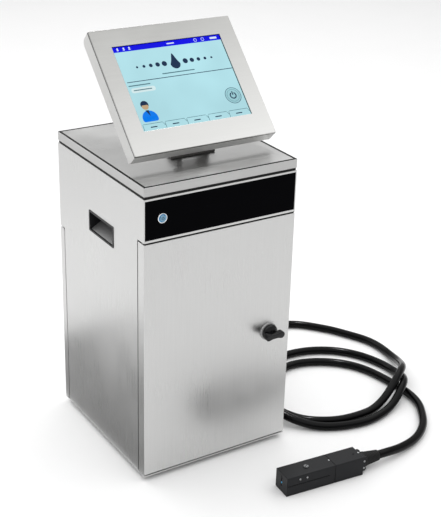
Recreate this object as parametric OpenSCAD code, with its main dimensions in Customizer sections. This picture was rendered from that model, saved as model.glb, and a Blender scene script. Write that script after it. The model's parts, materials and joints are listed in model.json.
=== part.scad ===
// Date code inkjet printer: a steel cabinet with a tilting touch screen and a print head on a hose.
// Front is -Y, right is +X, up is +Z. The origin is on the floor, midway between the four feet.

/* [Cabinet] */
// Width over the side walls
cab_w = 300; // [270:5:360]
// Depth from the front door's face to the rear door's face
cab_d = 325; // [310:5:400]
// Thickness of the folded steel sheet
sheet = 2; // [1.5:0.5:2.5]
// Thickness of the base plate
base_t = 2.5; // [2:0.5:4]
// Height of the rubber feet
foot_h = 10; // [6:1:20]
// Radius of a rubber foot
foot_r = 19; // [14:1:24]
// Spacing of the feet across the cabinet
foot_dx = 200; // [160:5:220]
// Spacing of the feet from front to back
foot_dy = 230; // [180:5:240]
// Radius of the bolt hole through each foot
foot_hole_r = 4.5; // [3.5:0.5:6]

/* [Doors] */
// Height of the front door
door_h = 448; // [420:2:540]
// Height of the rear door
rear_door_h = 363; // [330:2:370]
// How far the front door wraps round the sides
front_wrap = 21.5; // [18:0.5:26]
// How far the rear door wraps round the sides
rear_wrap = 15; // [13:0.5:18]
// Open seam between the front door and the walls
front_seam = 1.5; // [1.5:0.25:3]
// Open seam between the rear door and the walls
rear_seam = 2.5; // [2:0.25:4]
// Gap under and over the doors
door_gap = 1.5; // [1:0.25:2.5]
// Radius of the door pivot pins
pivot_r = 2.5; // [2:0.25:2.5]
// Radial running clearance of pins and shafts
run_fit = 0.05; // [0.02:0.01:0.1]
// Width of the frame round each door opening
frame_w = 30; // [28:1:40]

/* [Latches] */
// Front latch, distance in from the right edge of the door
latch_in = 45; // [42:1:60]
// Front latch, height above the base plate's underside
latch_up = 230; // [180:5:260]
// Length of the wing handle
wing_l = 40; // [32:1:50]
// Reach of the latch cam from its shaft
cam_l = 23; // [20:1:30]

/* [Top] */
// Height of the black panel over the front door
panel_h = 69; // [60:1:90]
// Height of the top flange of the walls
flange_t = 3.5; // [2:0.5:5]
// Height of the lid seal
seal_h = 4.5; // [3:0.5:6]
// Height of the lid's lip
lid_h = 16; // [14:1:24]
// Diameter of the power button's cap
button_d = 12; // [10:1:14]
// Travel of the power button
button_travel = 2; // [1.5:0.5:2.5]

/* [Handles] */
// Length of the handle recess rim
grip_l = 96; // [90:2:120]
// Height of the handle recess rim
grip_h = 42; // [38:1:50]
// Depth of the handle recess
grip_d = 26; // [22:1:34]

/* [Screen] */
// Width of the screen unit
scr_w = 276; // [260:2:300]
// Height of the screen unit along its face
scr_h = 236.6; // [220:2:260]
// Thickness of the screen unit
scr_t = 30.7; // [28:0.5:40]
// Visible width of the display
lcd_w = 212; // [196:2:220]
// Visible height of the display
lcd_h = 160.8; // [150:2:170]
// How far the screen leans back from upright
scr_lean = 44.6; // [35:1:60]
// Height of the tilt pin over the lid
pin_up = 31.2; // [30:1:44]
// Radius of the tilt pin
tilt_r = 5; // [4:0.5:6]

/* [Print head] */
// Length of the removable head cover
cover_l = 100; // [90:2:130]
// Length of the fixed rear part of the head
rear_l = 60; // [50:2:80]
// Width of the head
head_w = 40; // [36:1:46]
// Height of the head
head_h = 38; // [36:1:44]
// Wall of the head cover
cover_t = 2; // [1.5:0.5:2.5]
// Angle of the head on the floor
head_turn = -4.7; // [-10:0.1:0]

/* [Hose] */
// Outer diameter of the hose between cabinet and head
hose_d = 17; // [14:1:17]

/* [Fluids] */
// Height of the two fluid tanks
tank_h = 205; // [160:5:240]
// Radius of the tank necks
neck_r = 20; // [16:1:24]
// Radius of the filter canisters
filter_r = 19; // [14:1:20]

/* [Hidden] */
$fn = 48;

// Heights, from the floor up
base_z = foot_h;
floor_z = base_z + base_t;
door_z = floor_z + door_gap;
shelf_z = door_z + door_h + 2 * door_gap;
lip_h = 2 * sheet;
panel_z = shelf_z + lip_h;
flange_z = panel_z + panel_h;
wall_top = flange_z + flange_t;
lid_z = wall_top + seal_h;
top_z = lid_z + lid_h;
rear_top = door_z + rear_door_h + rear_seam;

// Planes across the cabinet
half_w = cab_w / 2;
half_d = cab_d / 2;
in_w = half_w - sheet;
front_edge = -half_d + front_wrap + front_seam;
rear_edge = half_d - rear_wrap - rear_seam;
window_x = half_w - sheet - frame_w;
window_low = floor_z + frame_w - 5;
window_high = shelf_z - frame_w;
rear_window_high = rear_top - frame_w;

// Door pivots, both on the left
pivot_x = -half_w + sheet + pivot_r + 0.5;
front_pivot_y = -half_d + sheet + pivot_r + 2;
rear_pivot_y = half_d - sheet - pivot_r - 0.5;
pin_l = 8;

// Latches
latch_x = half_w - latch_in;
latch_z = base_z + latch_up;
shaft_r = 6;
barrel_r = 9.5;
cam_t = 3;
cam_w = 12;
cam_gap = 1.5;
rear_latch_x = window_x - 11;
rear_latch_z = [door_z + 76, door_z + 286];
rear_shaft_r = 5;

// Handle recesses
grip_y = -7.5;
grip_z = shelf_z - 9 - grip_h / 2;
grip_rim = 3;

// Power button
button_x = -half_w + 34;
button_z = panel_z + panel_h / 2 + 1.2;
button_r = 8;
panel_t = 3;

// Screen: its own frame has X to the right, Y up along the face and Z out of the face
pin_y = -53;
pin_z = top_z + pin_up;
pin_down = 80;
pin_back = 14;
knuckle_r = 11;
knuckle_w = 43;
ear_gap = 0.5;
ear_t = 10;
bezel_t = 3.5;
lcd_up = 3.8;
glass_lap = 2.7;
shell_t = 2.5;

// Rear panel
fan_x = -85;
fan_z = 423 + (shelf_z - 465);
fan_s = 80;
fan_t = 25;
fan_bore = 38;
port_z = shelf_z + 40;
inlet_x = 112;
switch_x = 66;
socket_x = [-125, -95, -65, -35];

// Fluids
plate_y = 20;
plate_top = grip_z - grip_h / 2 - 9;
tank_gap = 0.3;
tank_w = 104;
tank_d = 104;
tank_x = 60;
tank_y = plate_y - 15 - tank_d / 2;
neck_h = 14;
pump_y = 78;
pump_z = floor_z + 62;
motor_r = 25;
filter_x = [-112, -68];
filter_h = 118;
filter_z = plate_top - filter_h - 14;
filter_y = plate_y - 3 - filter_r;
block_z = filter_z + 40;
valve_x = [0, 24, 48, 72, 96];

// Print head: its own frame has X towards the hose, Y towards the cabinet and Z up
head_x = 47.4;
head_y = -306.7;
deck_h = 9;
boot_z = 19;
flange_l = 8;
boot_l = 36;
cover_gap = 0.4;
screw_s = 49.5;
screw_r = 2.5;

// Hose: leaves the right wall and lies on the floor in two loops
gland_y = 115;
gland_z = 85;
gland_l = 40;
hose_r = hose_d / 2;
hose_route = [
  [190, 115, 85], [206, 115, 85], [229, 116.5, 81.5], [252, 122, 72], [272, 133, 58],
  [291, 148, 42], [310, 167, 27], [331, 187, 15.5], [356, 202, 10], [385, 208, 8.5],
  [414, 202, 8.5], [440, 185, 8.5], [463, 160, 8.5], [483, 134, 8.5], [507, 92, 8.5],
  [523, 58, 8.5], [530, 15, 8.5], [526, -23, 10], [515, -60, 17], [501, -87, 26],
  [485, -110, 35], [467, -127, 39.5], [446, -142, 38], [423, -155, 30], [399, -166, 20],
  [373, -175, 12], [343, -182, 8.5], [310, -183, 8.5], [274, -178, 8.5], [240, -163, 8.5],
  [213, -141, 8.5], [196, -110, 8.5], [188, -78, 8.5], [186, -45, 8.5], [191, -10, 8.5],
  [207, 25, 8.5], [235, 54, 8.5], [270, 74, 8.5], [303, 83, 8.5], [336, 86, 8.5],
  [370, 82, 8.5], [407, 68, 8.5], [442, 42, 8.5], [468, 6, 8.5], [482, -30, 8.5],
  [488, -62, 8.5], [487, -88, 11], [481, -112, 17], [471, -133, 23], [457, -150, 27],
  [439, -165, 26], [419, -178, 20], [397, -189, 13], [370, -199, 9], [325, -208, 8.5],
  [281, -203, 8.5], [245, -190, 8.5], [219, -174, 10], [197, -153, 14], [181, -129, 19],
  [173, -103, 24], [173, -77, 27], [181, -52, 28], [195, -29, 26], [214, -8, 20],
  [237, 12, 13], [262, 29, 9.5], [290, 41, 8.5], [320, 45, 8.5], [350, 39, 8.5],
  [380, 25, 8.5], [410, 1, 8.5], [431, -27, 8.5], [444, -59, 8.5], [451, -93, 8.5],
  [455, -125, 8.5], [457, -157, 8.5], [455, -183, 8.5], [447, -211, 8.5], [431, -239, 8.5],
  [411, -266, 8.5], [386, -288, 8.5], [358, -304, 9], [328, -314, 11], [300, -320, 14],
  [275, -323, 17.5], [251.7, -323.5, 19]
];

function unit(v) = v / norm(v);
function tangent(p, i) = unit(p[min(i + 1, len(p) - 1)] - p[max(i - 1, 0)]);
function ring(p, i, r, n, over) =
  let (t = tangent(p, i), side = unit(cross(t, over)), up = cross(side, t))
  [for (k = [0 : n - 1]) p[i] + r * cos(360 * k / n) * side + r * sin(360 * k / n) * up];

// A round tube of radius r swept along the points p, with n sides; over is never along the tube
module sweep(p, r, n, over = [0, 0, 1]) {
  last = len(p) - 1;
  points = [for (i = [0 : last]) each ring(p, i, r, n, over)];
  walls = [for (i = [0 : last - 1], k = [0 : n - 1])
    [i * n + k, i * n + (k + 1) % n, (i + 1) * n + (k + 1) % n, (i + 1) * n + k]];
  start = [[for (k = [n - 1 : -1 : 0]) k]];
  end = [[for (k = [0 : n - 1]) last * n + k]];
  polyhedron(points, concat(walls, start, end));
}

// A box from its lowest corner to its highest
module span(a, b) {
  translate(a) cube(b - a);
}

// A cylinder whose axis lies along Y, from y0 to y1
module rod_y(x, y0, y1, z, r) {
  translate([x, y1, z]) rotate([90, 0, 0]) cylinder(r = r, h = y1 - y0);
}

// A cylinder whose axis lies along X, from x0 to x1
module rod_x(x0, x1, y, z, r) {
  translate([x0, y, z]) rotate([0, 90, 0]) cylinder(r = r, h = x1 - x0);
}

// A flat rectangle with round corners
module round_rect(w, h, r) {
  square([w - 2 * r, h], center = true);
  square([w, h - 2 * r], center = true);
  for (x = [-1, 1], y = [-1, 1])
    translate([x * (w / 2 - r), y * (h / 2 - r)]) circle(r = r);
}

module at_feet() {
  for (x = [-1, 1], y = [-1, 1])
    translate([x * foot_dx / 2, y * foot_dy / 2, 0]) children();
}

module on_screen() {
  translate([0, pin_y, pin_z]) rotate([90 - scr_lean, 0, 0])
    translate([0, pin_down, scr_t + pin_back]) children();
}

module on_head() {
  translate([head_x, head_y, 0]) rotate([0, 0, head_turn]) children();
}

// ---- Cabinet ----

insert_r = 8;

module base_pan() {
  color("lightgray") {
    difference() {
      span([-half_w, -half_d, base_z], [half_w, half_d, floor_z]);
      at_feet() cylinder(r = insert_r, h = floor_z + 1);
    }
    for (side = [-1, 1])
      translate([side * (in_w - sheet / 2), (front_edge + rear_edge) / 2, floor_z + 9])
        cube([sheet, rear_edge - front_edge - 4 * sheet, 18], center = true);
  }
}

module rubber_feet() {
  color("black") at_feet() rotate_extrude()
    polygon([[foot_hole_r, 0], [foot_r - 2, 0], [foot_r - 1, 1], [foot_r, base_z],
      [foot_hole_r, base_z]]);
}

module stand_inserts() {
  color("silver") at_feet() difference() {
    union() {
      translate([0, 0, base_z]) cylinder(r = insert_r, h = base_t);
      translate([0, 0, floor_z]) cylinder(r = insert_r + 3, h = 10);
    }
    translate([0, 0, base_z - 1]) cylinder(r = foot_hole_r - 0.3, h = base_t + 12);
  }
}

module wall_outline() {
  polygon([[front_edge, floor_z], [front_edge, shelf_z], [-half_d, shelf_z], [-half_d, wall_top],
    [half_d, wall_top], [half_d, rear_top], [rear_edge, rear_top], [rear_edge, floor_z]]);
}

module side_wall(side) {
  difference() {
    translate([side > 0 ? in_w : -half_w, 0, 0]) rotate([90, 0, 90])
      linear_extrude(sheet) wall_outline();
    translate([side * half_w, grip_y, grip_z]) rotate([90, 0, 90])
      linear_extrude(4 * sheet, center = true)
        round_rect(grip_l - 2 * grip_rim, grip_h - 2 * grip_rim, 6);
    if (side > 0) rod_x(in_w - 1, half_w + 1, gland_y, gland_z, 16);
  }
}

// A sheet with a window in it, which frames a door opening
module door_frame(y0, top, window_top) {
  difference() {
    span([-in_w, y0, floor_z], [in_w, y0 + sheet, top]);
    span([-window_x, y0 - 1, window_low], [window_x, y0 + sheet + 1, window_top]);
  }
}

module cabinet_shell() {
  color("silver") {
    side_wall(-1);
    side_wall(1);
    door_frame(front_edge, shelf_z, window_high);
    door_frame(rear_edge - sheet, rear_top, rear_window_high);
    difference() {
      span([-in_w, -half_d, flange_z], [in_w, half_d, wall_top]);
      span([-in_w + 22, -half_d + 22, flange_z - 1], [in_w - 22, half_d - 22, wall_top + 1]);
    }
  }
}

module compartment_shelf() {
  color("silver") {
    difference() {
      span([-in_w, -half_d, shelf_z], [in_w, half_d - sheet, shelf_z + sheet]);
      translate([120, 120, shelf_z - 1]) cylinder(r = 20, h = sheet + 2);
    }
    span([-in_w, -half_d, shelf_z + sheet], [in_w, -half_d + sheet, panel_z]);
  }
}

module rear_panel() {
  color("silver") {
    difference() {
      span([-in_w, half_d - sheet, rear_top], [in_w, half_d, flange_z]);
      rod_y(fan_x, half_d - 2 * sheet, half_d + 1, fan_z, fan_bore);
      for (x = socket_x) rod_y(x, half_d - 2 * sheet, half_d + 1, port_z, 8);
      translate([inlet_x, half_d, port_z]) cube([28, 4 * sheet, 21], center = true);
      translate([switch_x, half_d, port_z]) cube([19, 4 * sheet, 27], center = true);
      translate([2, half_d, port_z]) cube([17, 4 * sheet, 14], center = true);
    }
    span([-in_w, rear_edge, rear_top], [in_w, half_d - sheet, rear_top + sheet]);
  }
}

module control_panel() {
  color("black") difference() {
    span([-in_w, -half_d + 0.5, panel_z], [in_w, -half_d + 0.5 + panel_t, flange_z]);
    rod_y(button_x, -half_d - 1, -half_d + 6, button_z, button_r);
  }
}

module lid_seal() {
  color("black") translate([0, 0, wall_top]) linear_extrude(seal_h) difference() {
    square([cab_w - 3, cab_d - 3], center = true);
    square([cab_w - 24, cab_d - 24], center = true);
  }
}

module lid() {
  rim = 12;
  color("silver") difference() {
    translate([0, 0, lid_z]) linear_extrude(lid_h) round_rect(cab_w, cab_d, 2);
    span([-in_w, -half_d + sheet, lid_z + sheet], [in_w, half_d - sheet, top_z - sheet]);
    span([-half_w + rim, -half_d + rim, lid_z - 1], [half_w - rim, half_d - rim, lid_z + 3]);
    translate([0, pin_y + 22, top_z - 3]) cylinder(r = 8, h = 4);
  }
}

// ---- Handle recesses ----

module handle_cup() {
  inner_l = grip_l - 2 * grip_rim - 2 * sheet;
  inner_h = grip_h - 2 * grip_rim - 2 * sheet;
  color("dimgray") translate([half_w, grip_y, grip_z]) rotate([90, 0, 90]) {
    difference() {
      union() {
        linear_extrude(1) round_rect(grip_l, grip_h, 8);
        translate([0, 0, -grip_d])
          linear_extrude(grip_d) round_rect(inner_l + 2 * sheet - 0.4, inner_h + 2 * sheet - 0.4, 5.8);
      }
      translate([0, 0, sheet - grip_d]) linear_extrude(grip_d) round_rect(inner_l, inner_h, 4);
    }
    translate([-inner_l / 2, 0, 0]) rotate([90, 0, 90]) linear_extrude(inner_l)
      polygon([[-inner_h / 2, -2], [-inner_h / 2, sheet - grip_d], [-inner_h / 2 + 12, sheet - grip_d]]);
  }
}

module right_handle_cup() handle_cup();
module left_handle_cup() mirror([1, 0, 0]) handle_cup();

// ---- Power button ----

module button_barrel() {
  color("silver") {
    difference() {
      union() {
        rod_y(button_x, -half_d - 1.5, -half_d + 0.5, button_z, button_r + 1);
        rod_y(button_x, -half_d + 0.5, -half_d + 22, button_z, button_r - 0.1);
      }
      rod_y(button_x, -half_d - 3, -half_d + 18, button_z, button_d / 2 + run_fit);
    }
    translate([button_x, -half_d + 0.5 + panel_t + 3, button_z]) rotate([90, 0, 0])
      difference() {
        cylinder(r = button_r + 3.5, h = 3, $fn = 6);
        translate([0, 0, -1]) cylinder(r = button_r - 0.1, h = 5);
      }
  }
}

module button_cap() {
  color("dodgerblue")
    rod_y(button_x, -half_d - 1.5 - button_travel + 0.5, -half_d + 18 - button_travel - 0.5,
      button_z, button_d / 2);
}

// ---- Doors ----

// A door pan whose skin faces -Y, from y = 0 to y = wrap
module door_pan(h, wrap, pin_x, pin_in) {
  difference() {
    span([-half_w, 0, 0], [half_w, wrap, h]);
    span([-in_w, sheet, sheet], [in_w, wrap + 1, h - sheet]);
    for (z = [-1, h - sheet - 1]) translate([pin_x, pin_in, z])
      cylinder(r = pivot_r + run_fit, h = sheet + 2);
  }
}

// A pin with the washer that carries the door
module pivot(y, z, way) {
  translate([pivot_x, y, z]) mirror([0, 0, way < 0 ? 1 : 0]) {
    cylinder(r = pivot_r, h = pin_l);
    cylinder(r = pivot_r + 2, h = door_gap - 0.3);
  }
}

module door_pivots() {
  color("gray") {
    pivot(front_pivot_y, floor_z, 1);
    pivot(front_pivot_y, shelf_z, -1);
    translate([0, 0, -door_gap]) pivot(front_pivot_y, shelf_z, -1);
    pivot(rear_pivot_y, floor_z, 1);
    pivot(rear_pivot_y, rear_top, -1);
    translate([0, 0, -rear_seam + door_gap]) pivot(rear_pivot_y, rear_top, -1);
  }
}

module front_door() {
  stiff = 12;
  stiff_x = window_x - 1;
  stiff_d = front_wrap - 7;
  color("silver") difference() {
    union() {
      translate([0, -half_d, door_z]) door_pan(door_h, front_wrap, pivot_x, front_pivot_y + half_d);
      difference() {
        span([-stiff_x - stiff, -half_d + sheet, window_low - 12],
          [stiff_x + stiff, -half_d + stiff_d, window_high + 12]);
        span([-stiff_x, -half_d, window_low], [stiff_x, -half_d + stiff_d + 1, window_high]);
      }
    }
    rod_y(latch_x, -half_d - 1, -half_d + 6, latch_z, barrel_r);
  }
}

module door_gasket() {
  w = 8;
  color("black") difference() {
    span([-window_x - w - 1, front_edge - 6, window_low - w - 1],
      [window_x + w + 1, front_edge, window_high + w + 1]);
    span([-window_x - 1, front_edge - 7, window_low - 1],
      [window_x + 1, front_edge + 1, window_high + 1]);
  }
}

module latch_barrel() {
  color("lightgray") difference() {
    union() {
      rod_y(latch_x, -half_d - 2, -half_d, latch_z, 17);
      rod_y(latch_x, -half_d, front_edge + sheet, latch_z, barrel_r);
      rod_y(latch_x, -half_d + sheet, -half_d + sheet + 4, latch_z, barrel_r + 2);
    }
    rod_y(latch_x, -half_d - 3, front_edge + sheet + 1, latch_z, shaft_r + run_fit);
  }
}

module latch_knob() {
  out = -half_d - 2.3;
  color("black") {
    rod_y(latch_x, out, front_edge + sheet + cam_gap + cam_t, latch_z, shaft_r);
    translate([latch_x, out, latch_z]) rotate([90, 0, 0]) rotate_extrude()
      polygon([[0, 0], [13.5, 0], [14, 1], [14, 8], [13, 10], [9, 11.5], [9, 22], [0, 22]]);
    translate([latch_x, out - 11, latch_z]) rotate([90, 0, 0])
      linear_extrude(12) round_rect(wing_l, 13, 6.4);
  }
}

module latch_cam() {
  y0 = front_edge + sheet + cam_gap;
  color("silver") difference() {
    union() {
      rod_y(latch_x, y0, y0 + cam_t, latch_z, 9);
      span([latch_x - cam_w / 2, y0, latch_z], [latch_x + cam_w / 2, y0 + cam_t, latch_z + cam_l]);
    }
    rod_y(latch_x, y0 - 1, y0 + cam_t + 1, latch_z, shaft_r);
  }
}

module rear_door() {
  louvre_w = 70;
  color("silver") difference() {
    translate([0, half_d, door_z]) mirror([0, 1, 0])
      door_pan(rear_door_h, rear_wrap, pivot_x, half_d - rear_pivot_y);
    for (z = rear_latch_z)
      rod_y(rear_latch_x, half_d - 2 * sheet, half_d + 1, z, rear_shaft_r + run_fit);
    for (x = [-60, 40], row = [0 : 6])
      translate([x, half_d, door_z + 60 + 14 * row]) cube([louvre_w, 4 * sheet, 4], center = true);
    for (side = [-1, 1]) translate([side * half_w, half_d - rear_wrap, door_z + rear_door_h])
      rotate([0, 90, 0]) difference() {
        cube([10, 10, 3 * sheet], center = true);
        translate([5, 5, 0]) cylinder(r = 5, h = 4 * sheet, center = true);
      }
  }
}

module rear_latch(z) {
  y1 = rear_edge - sheet - cam_gap;
  color("silver") difference() {
    union() {
      rod_y(rear_latch_x, half_d + 0.3, half_d + 3.3, z, 9);
      rod_y(rear_latch_x, y1 - cam_t, half_d + 1, z, rear_shaft_r);
      span([rear_latch_x - cam_w / 2, y1 - cam_t, z], [rear_latch_x + cam_w / 2, y1, z + cam_l]);
      rod_y(rear_latch_x, y1 - cam_t, y1, z, cam_w / 2);
    }
    translate([rear_latch_x, half_d + 4, z]) cube([12, 3, 1.8], center = true);
  }
}

module rear_latch_lower() rear_latch(rear_latch_z[0]);
module rear_latch_upper() rear_latch(rear_latch_z[1]);

// ---- Electronics ----

module controller_board() {
  x0 = -30;
  y0 = -120;
  w = 165;
  d = 130;
  z0 = shelf_z + sheet + 8;
  color("darkgreen") {
    span([x0, y0, z0], [x0 + w, y0 + d, z0 + 1.6]);
    for (x = [x0 + 6, x0 + w - 6], y = [y0 + 6, y0 + d - 6])
      translate([x, y, shelf_z + sheet]) cylinder(r = 3, h = 8);
    span([x0 + 50, y0 + 50, z0 + 1.6], [x0 + 86, y0 + 86, z0 + 16]);
    for (k = [0 : 4]) translate([x0 + 14 + 24 * k, y0 + d - 10, z0 + 5.6]) cube([18, 9, 8], center = true);
    for (k = [0 : 3]) translate([x0 + 110, y0 + 30 + 16 * k, z0 + 1.6]) cylinder(r = 5, h = 14);
    span([x0 + 12, y0 + 16, z0 + 1.6], [x0 + 40, y0 + 44, z0 + 4]);
    span([x0 + 12, y0 + 56, z0 + 1.6], [x0 + 34, y0 + 78, z0 + 4]);
  }
}

module power_supply() {
  color("silver") {
    span([-142, -70, shelf_z + sheet], [-48, 82, shelf_z + sheet + 38]);
    span([-134, -84, shelf_z + sheet], [-56, -70, shelf_z + sheet + 14]);
  }
}

module fan_housing() {
  color("dimgray") {
    difference() {
      translate([fan_x, half_d - sheet - fan_t / 2, fan_z]) cube([fan_s, fan_t, fan_s], center = true);
      rod_y(fan_x, half_d - sheet - fan_t - 1, half_d, fan_z, fan_bore);
    }
    difference() {
      union() {
        rod_y(fan_x, half_d - sheet - 5, half_d - sheet, fan_z, 17);
        for (turn = [0, 90]) translate([fan_x, half_d - sheet - 2, fan_z]) rotate([0, turn + 45, 0])
          cube([2 * fan_bore + 1, 4, 4], center = true);
      }
      rod_y(fan_x, half_d - sheet - 6, half_d - sheet + 1, fan_z, 3 + run_fit);
    }
  }
}

module fan_rotor() {
  y0 = half_d - sheet - fan_t + 2;
  color("dimgray") {
    rod_y(fan_x, y0, y0 + 16, fan_z, 17);
    rod_y(fan_x, y0 + 15, half_d - sheet - 1, fan_z, 3);
    for (k = [0 : 6]) translate([fan_x, y0 + 8, fan_z]) rotate([0, k * 360 / 7, 0])
      translate([26, 0, 0]) rotate([38, 0, 0]) cube([20, 18, 1.6], center = true);
  }
}

module fan_guard() {
  wire = 1.2;
  y = half_d + wire;
  color("silver") {
    for (r = [12, 22, 32]) translate([fan_x, y, fan_z]) rotate([90, 0, 0])
      rotate_extrude() translate([r, 0]) circle(r = wire, $fn = 16);
    for (turn = [45, 135]) translate([fan_x, y, fan_z]) rotate([0, turn, 0])
      cube([110, 2 * wire, 2 * wire], center = true);
  }
}

module mains_inlet() {
  y0 = half_d;
  color("black") {
    difference() {
      union() {
        translate([inlet_x, y0 + 1.5, port_z]) cube([48, 3, 27], center = true);
        translate([inlet_x, y0 - 8, port_z]) cube([27.6, 19, 20.6], center = true);
      }
      translate([inlet_x, y0 - 4.5, port_z]) cube([24.5, 21, 16.5], center = true);
    }
    for (k = [-1, 0, 1])
      translate([inlet_x + 7 * k, y0 - 10, port_z + (k == 0 ? 3 : -2)]) cube([2, 11, 4], center = true);
  }
}

module switch_frame() {
  color("black") difference() {
    union() {
      translate([switch_x, half_d + 1, port_z]) cube([24, 2, 32], center = true);
      translate([switch_x, half_d - 8, port_z]) cube([18.6, 16, 26.6], center = true);
    }
    translate([switch_x, half_d - 3, port_z]) cube([14, 22, 24], center = true);
    rod_x(switch_x - 8.5, switch_x + 8.5, half_d - 4, port_z, 1.5 + run_fit);
  }
}

rocker_tilt = 8;

module switch_rocker() {
  color("red") translate([switch_x, half_d - 4, port_z]) rotate([rocker_tilt, 0, 0]) {
    rod_x(-8.3, 8.3, 0, 0, 1.5);
    rotate([90, 0, 90]) linear_extrude(13, center = true)
      polygon([[-4, -6], [-4, 6], [6.2, 10.4], [5, 0], [6.2, -10.4]]);
  }
}

module data_sockets() {
  color("silver") for (x = socket_x) {
    rod_y(x, half_d, half_d + 3, port_z, 10);
    rod_y(x, half_d - 10, half_d, port_z, 7.9);
    difference() {
      rod_y(x, half_d + 3, half_d + 12, port_z, 7);
      rod_y(x, half_d + 9, half_d + 13, port_z, 5);
    }
  }
  color("silver") difference() {
    translate([2, half_d - 4, port_z]) cube([16.6, 13, 13.6], center = true);
    translate([2, half_d + 2, port_z]) cube([12, 7, 9], center = true);
  }
}

// ---- Ink system ----

module hydraulics_plate() {
  color("gainsboro") {
    span([-in_w + 4, plate_y, floor_z + sheet], [in_w - 4, plate_y + sheet, plate_top]);
    span([-in_w + 4, plate_y, floor_z], [in_w - 4, plate_y + 22, floor_z + sheet]);
    for (side = [-1, 1]) translate([side * (in_w - 2), plate_y + 11, (floor_z + plate_top) / 2 + 20])
      cube([4, 22, plate_top - floor_z - 80], center = true);
  }
}

module tank(x) {
  z0 = floor_z + tank_gap;
  translate([x, tank_y, z0]) {
    linear_extrude(tank_h) round_rect(tank_w, tank_d, 10);
    translate([0, -12, tank_h]) cylinder(r = neck_r, h = neck_h);
    for (side = [-1, 1]) translate([side * 36, 34, tank_h]) cylinder(r = 5, h = 10);
  }
}

module tank_cap(x) {
  z0 = floor_z + tank_gap + tank_h;
  translate([x, tank_y - 12, z0 + 0.3]) difference() {
    union() {
      cylinder(r = neck_r + 4, h = neck_h + 4);
      for (k = [0 : 15]) rotate([0, 0, k * 22.5]) translate([neck_r + 4, 0, (neck_h + 4) / 2])
        cube([1.6, 2.4, neck_h + 4], center = true);
    }
    translate([0, 0, -1]) cylinder(r = neck_r + run_fit, h = neck_h + 1);
  }
}

module ink_tank() color("ivory") tank(-tank_x);
module makeup_tank() color("white") tank(tank_x);
module ink_tank_cap() color("black") tank_cap(-tank_x);
module makeup_tank_cap() color("royalblue") tank_cap(tank_x);

motor_x = [-112, -28];
coupler_r = 9;

module pump_motor() {
  color("darkgray") {
    rod_x(motor_x[0], motor_x[1], pump_y, pump_z, motor_r);
    rod_x(motor_x[0] - 4, motor_x[0], pump_y, pump_z, motor_r - 8);
    span([motor_x[0] + 12, plate_y + sheet, pump_z - 12], [motor_x[1] - 12, pump_y - 20, pump_z + 12]);
  }
}

module pump_coupler() {
  color("gold") {
    rod_x(motor_x[1] + 0.3, motor_x[1] + 6, pump_y, pump_z, 5);
    rod_x(motor_x[1] + 6, motor_x[1] + 30, pump_y, pump_z, coupler_r);
    rod_x(motor_x[1] + 30, motor_x[1] + 35.7, pump_y, pump_z, 5);
  }
}

module pump_head() {
  x0 = motor_x[1] + 36;
  color("silver") {
    rod_x(x0, x0 + 44, pump_y, pump_z, 22);
    for (k = [0 : 5]) rod_x(x0 + 44, x0 + 48,
      pump_y + 16 * cos(60 * k), pump_z + 16 * sin(60 * k), 3);
    span([x0 + 6, plate_y + sheet, pump_z - 12], [x0 + 38, pump_y - 15, pump_z + 12]);
    translate([x0 + 22, pump_y, pump_z + 20]) cylinder(r = 5, h = 12);
  }
}

module filter_canisters() {
  color("lightsteelblue") for (x = filter_x) {
    translate([x, filter_y, filter_z]) cylinder(r = filter_r, h = filter_h);
    translate([x, filter_y, filter_z + filter_h]) cylinder(r = filter_r - 8, h = 6);
    translate([x, filter_y, filter_z - 8]) cylinder(r = 5, h = 8);
    span([x - 8, filter_y + filter_r - 4, filter_z + 40], [x + 8, plate_y, filter_z + 70]);
  }
}

module valve_manifold() {
  color("lightgray") {
    span([-16, plate_y - 26, block_z], [112, plate_y, block_z + 34]);
    for (x = valve_x) translate([x, plate_y - 13, block_z - 8]) cylinder(r = 4, h = 8);
  }
}

module solenoid_valves() {
  color("black") for (x = valve_x) {
    span([x - 9, plate_y - 60, block_z + 6], [x + 9, plate_y - 30, block_z + 28]);
    rod_y(x, plate_y - 30, plate_y - 26, block_z + 17, 7);
    rod_y(x, plate_y - 63, plate_y - 60, block_z + 17, 4);
  }
}

module fluid_tubes() {
  r = 3;
  z_tank = floor_z + tank_gap + tank_h + 10.3;
  y_port = tank_y + 34;
  color("whitesmoke") {
    for (side = [0, 1]) {
      from = [-tank_x + 36 - 72 * (1 - side), y_port, z_tank];
      to = [filter_x[side], filter_y, filter_z - 8.3];
      sweep([from, from + [0, 0, 14], from * 0.7 + to * 0.3 + [0, -3, 6],
        from * 0.3 + to * 0.7 + [0, -2, -6], to - [0, 0, 12], to], r, 8, [0, 1, 0]);
    }
    for (k = [0, 1]) {
      from = [tank_x - 36 + 72 * k, y_port, z_tank];
      to = [valve_x[2 + 2 * k], plate_y - 13, block_z - 8.3];
      sweep([from, from + [0, 0, 16], (from + to) / 2, to - [0, 0, 16], to], r, 8, [0, 1, 0]);
    }
  }
}

// ---- Screen ----

module screen_stand() {
  outline_y = [pin_y - knuckle_r, pin_y + 30];
  color("dimgray") difference() {
    union() {
      span([-44, outline_y[0], top_z], [44, pin_y + 42, top_z + 5]);
      for (side = [-1, 1])
        translate([side * (knuckle_w / 2 + ear_gap + ear_t / 2), 0, 0]) rotate([90, 0, 90])
          linear_extrude(ear_t, center = true) {
            translate([pin_y, pin_z]) circle(r = knuckle_r);
            polygon([[outline_y[0], pin_z], [outline_y[0], top_z + 5], [outline_y[1], top_z + 5],
              [pin_y + knuckle_r, pin_z]]);
          }
    }
    rod_x(-50, 50, pin_y, pin_z, tilt_r);
    translate([0, pin_y + 22, top_z - 1]) cylinder(r = 8, h = 8);
  }
}

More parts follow.
